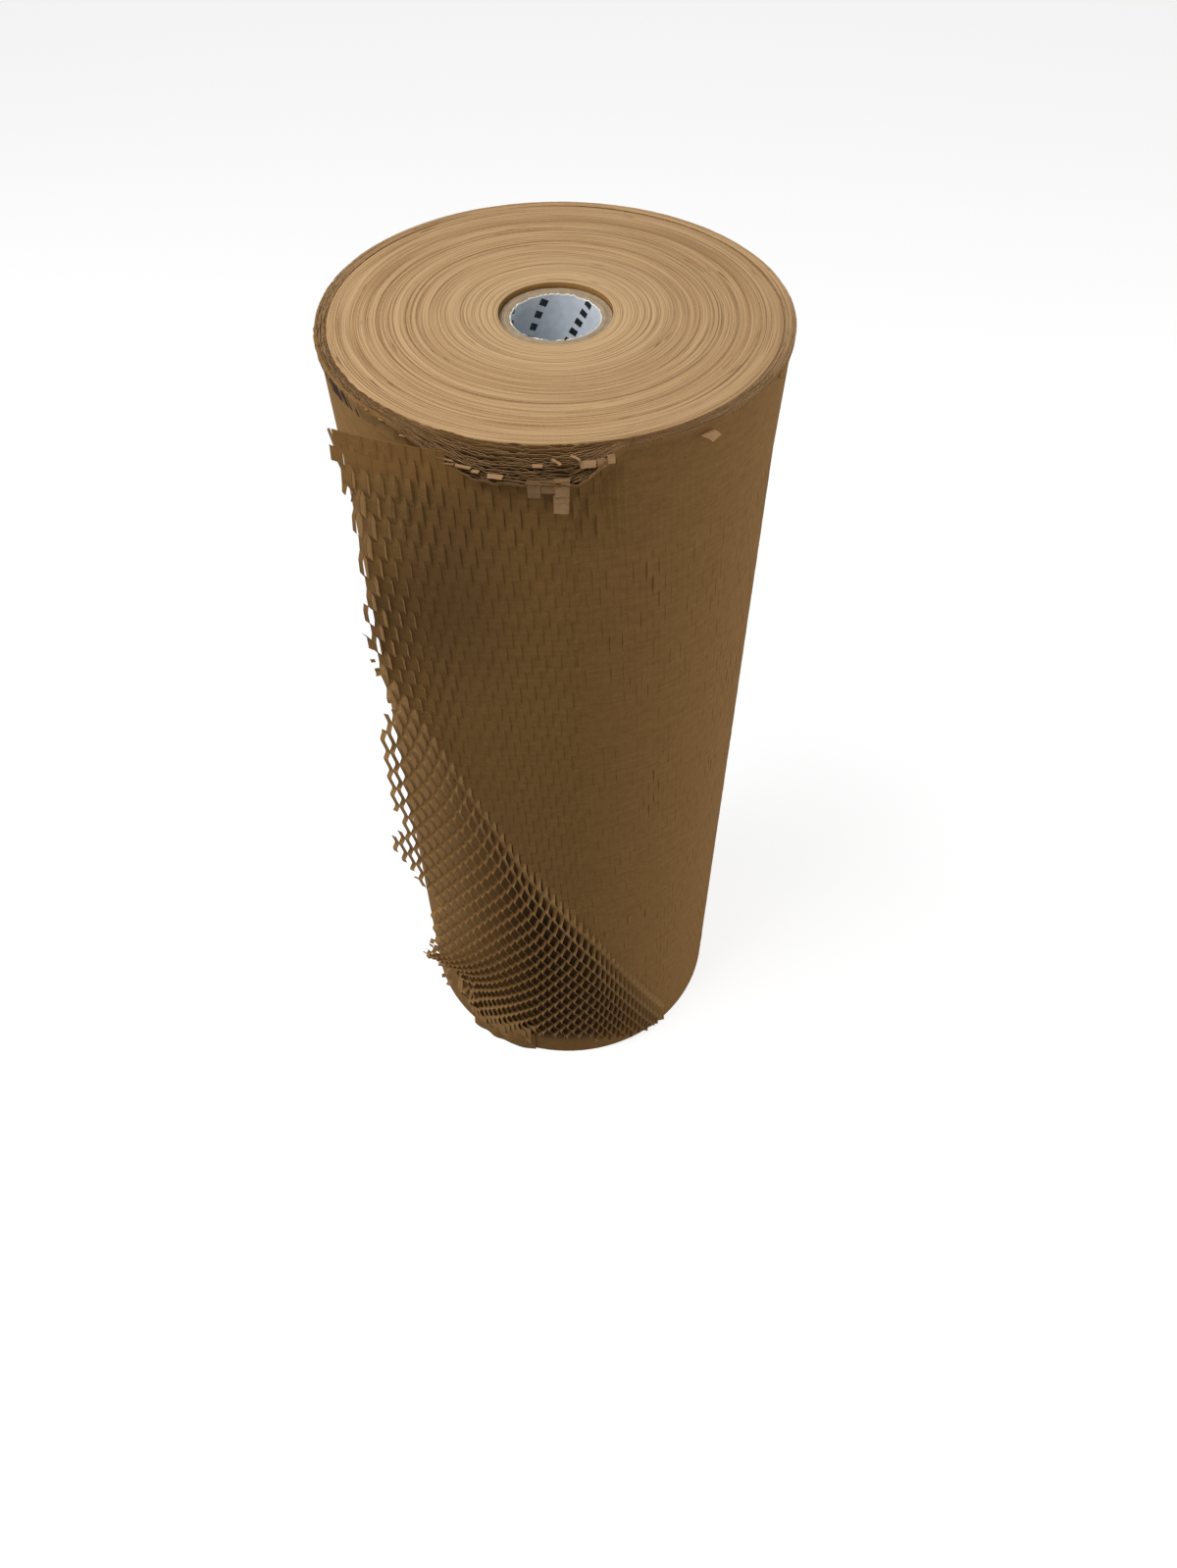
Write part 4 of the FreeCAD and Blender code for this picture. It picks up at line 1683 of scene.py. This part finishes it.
@dataclass
class Core:
    """The greyboard tube and the printed ply inside it."""

    sizes: RollSizes
    finishes: dict
    around: int = 160
    # the sawn end
    back_lift: float = 0.8
    front_lift: float = 0.5
    front_from: float = -0.2
    end_points: int = 12
    foot_points: int = 6
    arris: float = 0.25
    ply: float = 0.7
    ply_step: float = 0.18
    grain: tuple = (0.9, 30.0)
    grain_knots: tuple = (64, 60)
    grain_step: float = 0.12
    wall_rows: tuple = (300.0, 150.0)
    wall_ends: tuple = (0.6, 0.6)
    tube_foot: float = 0.2
    # the ply and its torn lip
    ply_foot: float = 0.3
    ply_rows: int = 56
    ply_even: float = 2.0
    lip_rows: tuple = (1.2, 0.7, 0.4, 0.0)
    fray_knots: float = 50.0
    fray: float = 0.7
    fray_low: float = 0.2
    fray_reach: float = 12.0
    lip_in: float = 0.2
    lip_out: float = 0.9
    # the print
    print_slope: float = math.radians(62.0)
    bars_around: int = 10
    rows_around: int = 6

    def lift(self, angle: np.ndarray) -> np.ndarray:
        """How much the sawn end stands above its mean plane, most at the front, in mm."""
        return self.back_lift + self.front_lift * smooth(np.cos(angle), self.front_from, 1.0)

    def tube(self) -> bpy.types.Object:
        """Sawn tube: its upper end is a little uneven, in plies.

        Returns:
            The piece.
        """
        s = self.sizes
        outer, inner = s.tube_radius, s.tube_radius - s.tube_wall
        angle = round_angles(self.around)
        r = np.linspace(inner + self.arris, outer - self.arris, self.end_points)
        plies = self.ply_step * wander(r / self.ply, Seed.TUBE_PLIES) \
            + self.grain_step * wander2(r / self.grain[0], angle / np.pi * self.grain[1],
                                        Seed.TUBE_GRAIN, *self.grain_knots)
        end = polar(angle, r, s.tube_top - self.arris + plies + self.lift(angle))
        below, foot = self.wall_ends
        down = np.array([s.tube_top - below, *self.wall_rows, foot])
        tall = down * (1.0 + self.lift(angle) / down[0])
        foot_r = np.linspace(outer - self.arris, inner + self.arris, self.foot_points)
        grid = np.concatenate([end, polar(angle, outer, tall),
                               polar(angle, foot_r, self.tube_foot),
                               polar(angle, inner, tall[:, ::-1])], axis=1)
        quads = grid_quads(*grid.shape[:2], True, True)[:, ::-1]
        return make_piece("core_tube_board", grid, quads,
                          [self.finishes[Finish.BOARD]], nodes=("core_tube",))

    def liner(self) -> bpy.types.Object:
        """Thin printed ply whose upper edge is torn into a pale lip, frayed at random.

        Returns:
            The piece.
        """
        s = self.sizes
        outer, inner = s.liner_radius, s.liner_radius - s.liner_wall
        angle = round_angles(self.around)
        z = np.concatenate([np.linspace(self.ply_foot, s.liner_top - self.ply_even, self.ply_rows),
                            s.liner_top - np.array(self.lip_rows)])
        rows = len(z)
        frayed = self.fray * np.abs(wander(angle / np.pi * self.fray_knots, Seed.LINER_EDGE)) \
            - self.fray_low
        z = z + (self.lift(angle) + frayed) * smooth(z, s.liner_top - self.fray_reach, s.liner_top)
        lip = smooth(np.arange(rows), rows - 3.0, rows - 1.0) * np.maximum(frayed, 0.0)
        grid = np.concatenate([polar(angle, inner - self.lip_in * lip, z),
                               polar(angle, outer + self.lip_out * lip[:, ::-1], z[:, ::-1])],
                              axis=1)
        quads = grid_quads(*grid.shape[:2], True, True)[:, ::-1]
        is_torn = np.tile(np.abs(np.arange(2 * rows) - (rows - 1)) < 2, self.around)
        piece = make_piece("core_liner_ply", grid, quads,
                           [self.finishes[Finish.PLY], self.finishes[Finish.TORN_PLY]], is_torn,
                           nodes=("core_liner",))
        self.map_print(piece, grid.reshape(-1, 3)[quads.ravel()], inner)
        return piece

    def map_print(self, piece: bpy.types.Object, corners: np.ndarray, bore: float) -> None:
        """Lay the print on the ply: the UV map counts bars across and rows up.

        Arc and height are turned by the print's slope and divided by its pitches. A
        whole number of bars and rows goes round the bore, so that no seam shows.

        Args:
            piece: the ply.
            corners: array (n, 3), the point of each corner of its quads.
            bore: radius of the bore.
        """
        angle = np.arctan2(corners[:, 0], -corners[:, 1]).reshape(-1, 4)
        past_back = angle - angle.min(1, keepdims=True) > np.pi
        arc = np.where(past_back, angle - 2.0 * np.pi, angle).ravel() * bore
        up, around = corners[:, 2], 2.0 * np.pi * bore
        run, rise = np.cos(self.print_slope), np.sin(self.print_slope)
        bar_pitch, row_pitch = run * around / self.bars_around, rise * around / self.rows_around
        uv = np.stack([(rise * up - run * arc) / bar_pitch,
                       (run * up + rise * arc) / row_pitch], -1)
        layer = piece.data.uv_layers.new(name="print")
        layer.data.foreach_set("uv", uv.astype(np.float32).ravel())


# ---- The stage

@dataclass(frozen=True)
class Lamp:
    """A square soft box: its place and size in metres, its power and its tint."""

    name: str
    place: tuple
    size: float
    power: float
    tint: tuple = (1.0, 1.0, 1.0)


@dataclass
class Stage:
    """Pale floor, soft studio light and the camera, in metres and degrees."""

    eye: tuple = (0.0, -0.46765, 0.75303)
    pitch: float = 50.90
    yaw: float = 1.765
    roll: float = 0.11
    lens: float = 26.36
    sensor: float = 36.0
    aim: tuple = (0.0, 0.0, 0.3)
    lamps: tuple = (Lamp("overhead", (-0.5, -0.25, 1.36), 0.7, 10.8),
                    Lamp("left_flank", (-1.7, 0.1, 0.55), 0.9, 9.4, (0.93, 0.97, 1.0)),
                    Lamp("right_flank", (1.8, -0.2, 0.4), 0.9, 17.0),
                    Lamp("fill", (0.6, -2.2, 0.6), 1.0, 4.0))
    surroundings: float = 0.16
    floor_grey: tuple = (0.42, 0.42, 0.42, 1.0)
    floor_glow: float = 0.8
    floor_reach: float = 4000.0

    def camera(self) -> None:
        """Look down at the roll: forward from pitch and yaw, then a small roll."""
        down, yaw, roll = (math.radians(a) for a in (self.pitch, self.yaw, self.roll))
        forward = Vector((math.cos(down) * math.sin(yaw), math.cos(down) * math.cos(yaw),
                          -math.sin(down)))
        level = Vector((math.cos(yaw), -math.sin(yaw), 0.0))
        upright = level.cross(forward)
        right = level * math.cos(roll) + upright * math.sin(roll)
        up = upright * math.cos(roll) - level * math.sin(roll)
        data = bpy.data.cameras.new("camera")
        data.lens, data.sensor_width, data.sensor_fit = self.lens, self.sensor, "AUTO"
        camera = bpy.data.objects.new("camera", data)
        turn = Matrix((right, up, -forward)).transposed()
        camera.matrix_world = Matrix.Translation(self.eye) @ turn.to_4x4()
        bpy.context.scene.collection.objects.link(camera)
        bpy.context.scene.camera = camera

    def light(self) -> None:
        """A broad lamp overhead, one at each flank and a weak fill, all facing the roll."""
        for lamp in self.lamps:
            data = bpy.data.lights.new(lamp.name, "AREA")
            data.size, data.energy, data.color = lamp.size, lamp.power, lamp.tint
            box = bpy.data.objects.new(lamp.name, data)
            facing = (Vector(self.aim) - Vector(lamp.place)).to_track_quat("-Z", "Y")
            box.matrix_world = Matrix.Translation(lamp.place) @ facing.to_matrix().to_4x4()
            bpy.context.scene.collection.objects.link(box)

    def world(self) -> None:
        """Grey surroundings for the light, white for what the camera and gloss see."""
        world = bpy.data.worlds.new("surroundings")
        world.use_nodes = True
        tree = world.node_tree
        tree.nodes.clear()
        path = add(tree, "LightPath")
        seen = path.outputs["Is Camera Ray"]
        for ray in ("Is Glossy Ray", "Is Transmission Ray"):
            seen = add(tree, "Math", {"operation": "MAXIMUM"}, i0=seen,
                       i1=path.outputs[ray]).outputs[0]
        strength = add(tree, "MapRange", i0=seen, i3=self.surroundings, i4=1.0).outputs[0]
        back = add(tree, "Background", Color=WHITE, Strength=strength)
        out = add(tree, "OutputWorld")
        tree.links.new(back.outputs[0], out.inputs[0])
        bpy.context.scene.world = world

    def floor(self) -> None:
        """Wide pale floor that shows white and keeps the roll's shadow."""
        material, tree, out = new_material("pale_floor")
        path = add(tree, "LightPath")
        matt = add(tree, "BsdfDiffuse", Color=self.floor_grey)
        shown = add(tree, "MapRange", i0=path.outputs["Is Camera Ray"], i4=self.floor_glow)
        glow = add(tree, "Emission", Color=WHITE, Strength=shown.outputs[0])
        both = add(tree, "AddShader", i0=matt.outputs[0], i1=glow.outputs[0])
        tree.links.new(both.outputs[0], out.inputs[0])
        mesh = bpy.data.meshes.new("floor")
        corners = np.array([[-1.0, -1.0, 0.0], [1.0, -1.0, 0.0], [1.0, 1.0, 0.0],
                            [-1.0, 1.0, 0.0]]) * self.floor_reach
        mesh.from_pydata((corners * MM).tolist(), [], [(0, 1, 2, 3)])
        mesh.materials.append(material)
        floor = bpy.data.objects.new("floor", mesh)
        bpy.context.scene.collection.objects.link(floor)

    def build(self) -> None:
        """Set everything up, with the plain view transform."""
        self.camera()
        self.light()
        self.world()
        self.floor()
        bpy.context.scene.view_settings.view_transform = "Standard"


def main() -> None:
    """Build the roll's pieces in order."""
    logging.basicConfig(level=logging.INFO, format="%(name)s: %(message)s")
    sizes = read_sizes()
    torn_ply = PrintedPly("lining_paper_torn_edge", "f0ede6", "dcd5c8", "f0ede6")
    torn = KraftFace("kraft_paper_torn_strips", "9c7955", "876745", "b8946a")
    finishes = {Finish.FACE: KraftFace().build(), Finish.TORN: torn.build(),
                Finish.EDGES: KraftEdges().build(), Finish.BOARD: Greyboard().build(),
                Finish.PLY: PrintedPly().build(), Finish.TORN_PLY: torn_ply.build()}
    core = Core(sizes, finishes)
    sheet = LooseSheet(sizes, finishes)
    for make in (WoundTurns(sizes, finishes).build, OuterTurn(sizes, finishes).build,
                 sheet.build, sheet.hem_flap, SlackTurns(sizes, finishes).build,
                 TornStrips(finishes).build, core.tube, core.liner):
        piece = make()
        LOG.info("%s: %d points, %d faces", piece.name, len(piece.data.vertices),
                 len(piece.data.polygons))
    Stage().build()


if __name__ == "__main__":
    main()
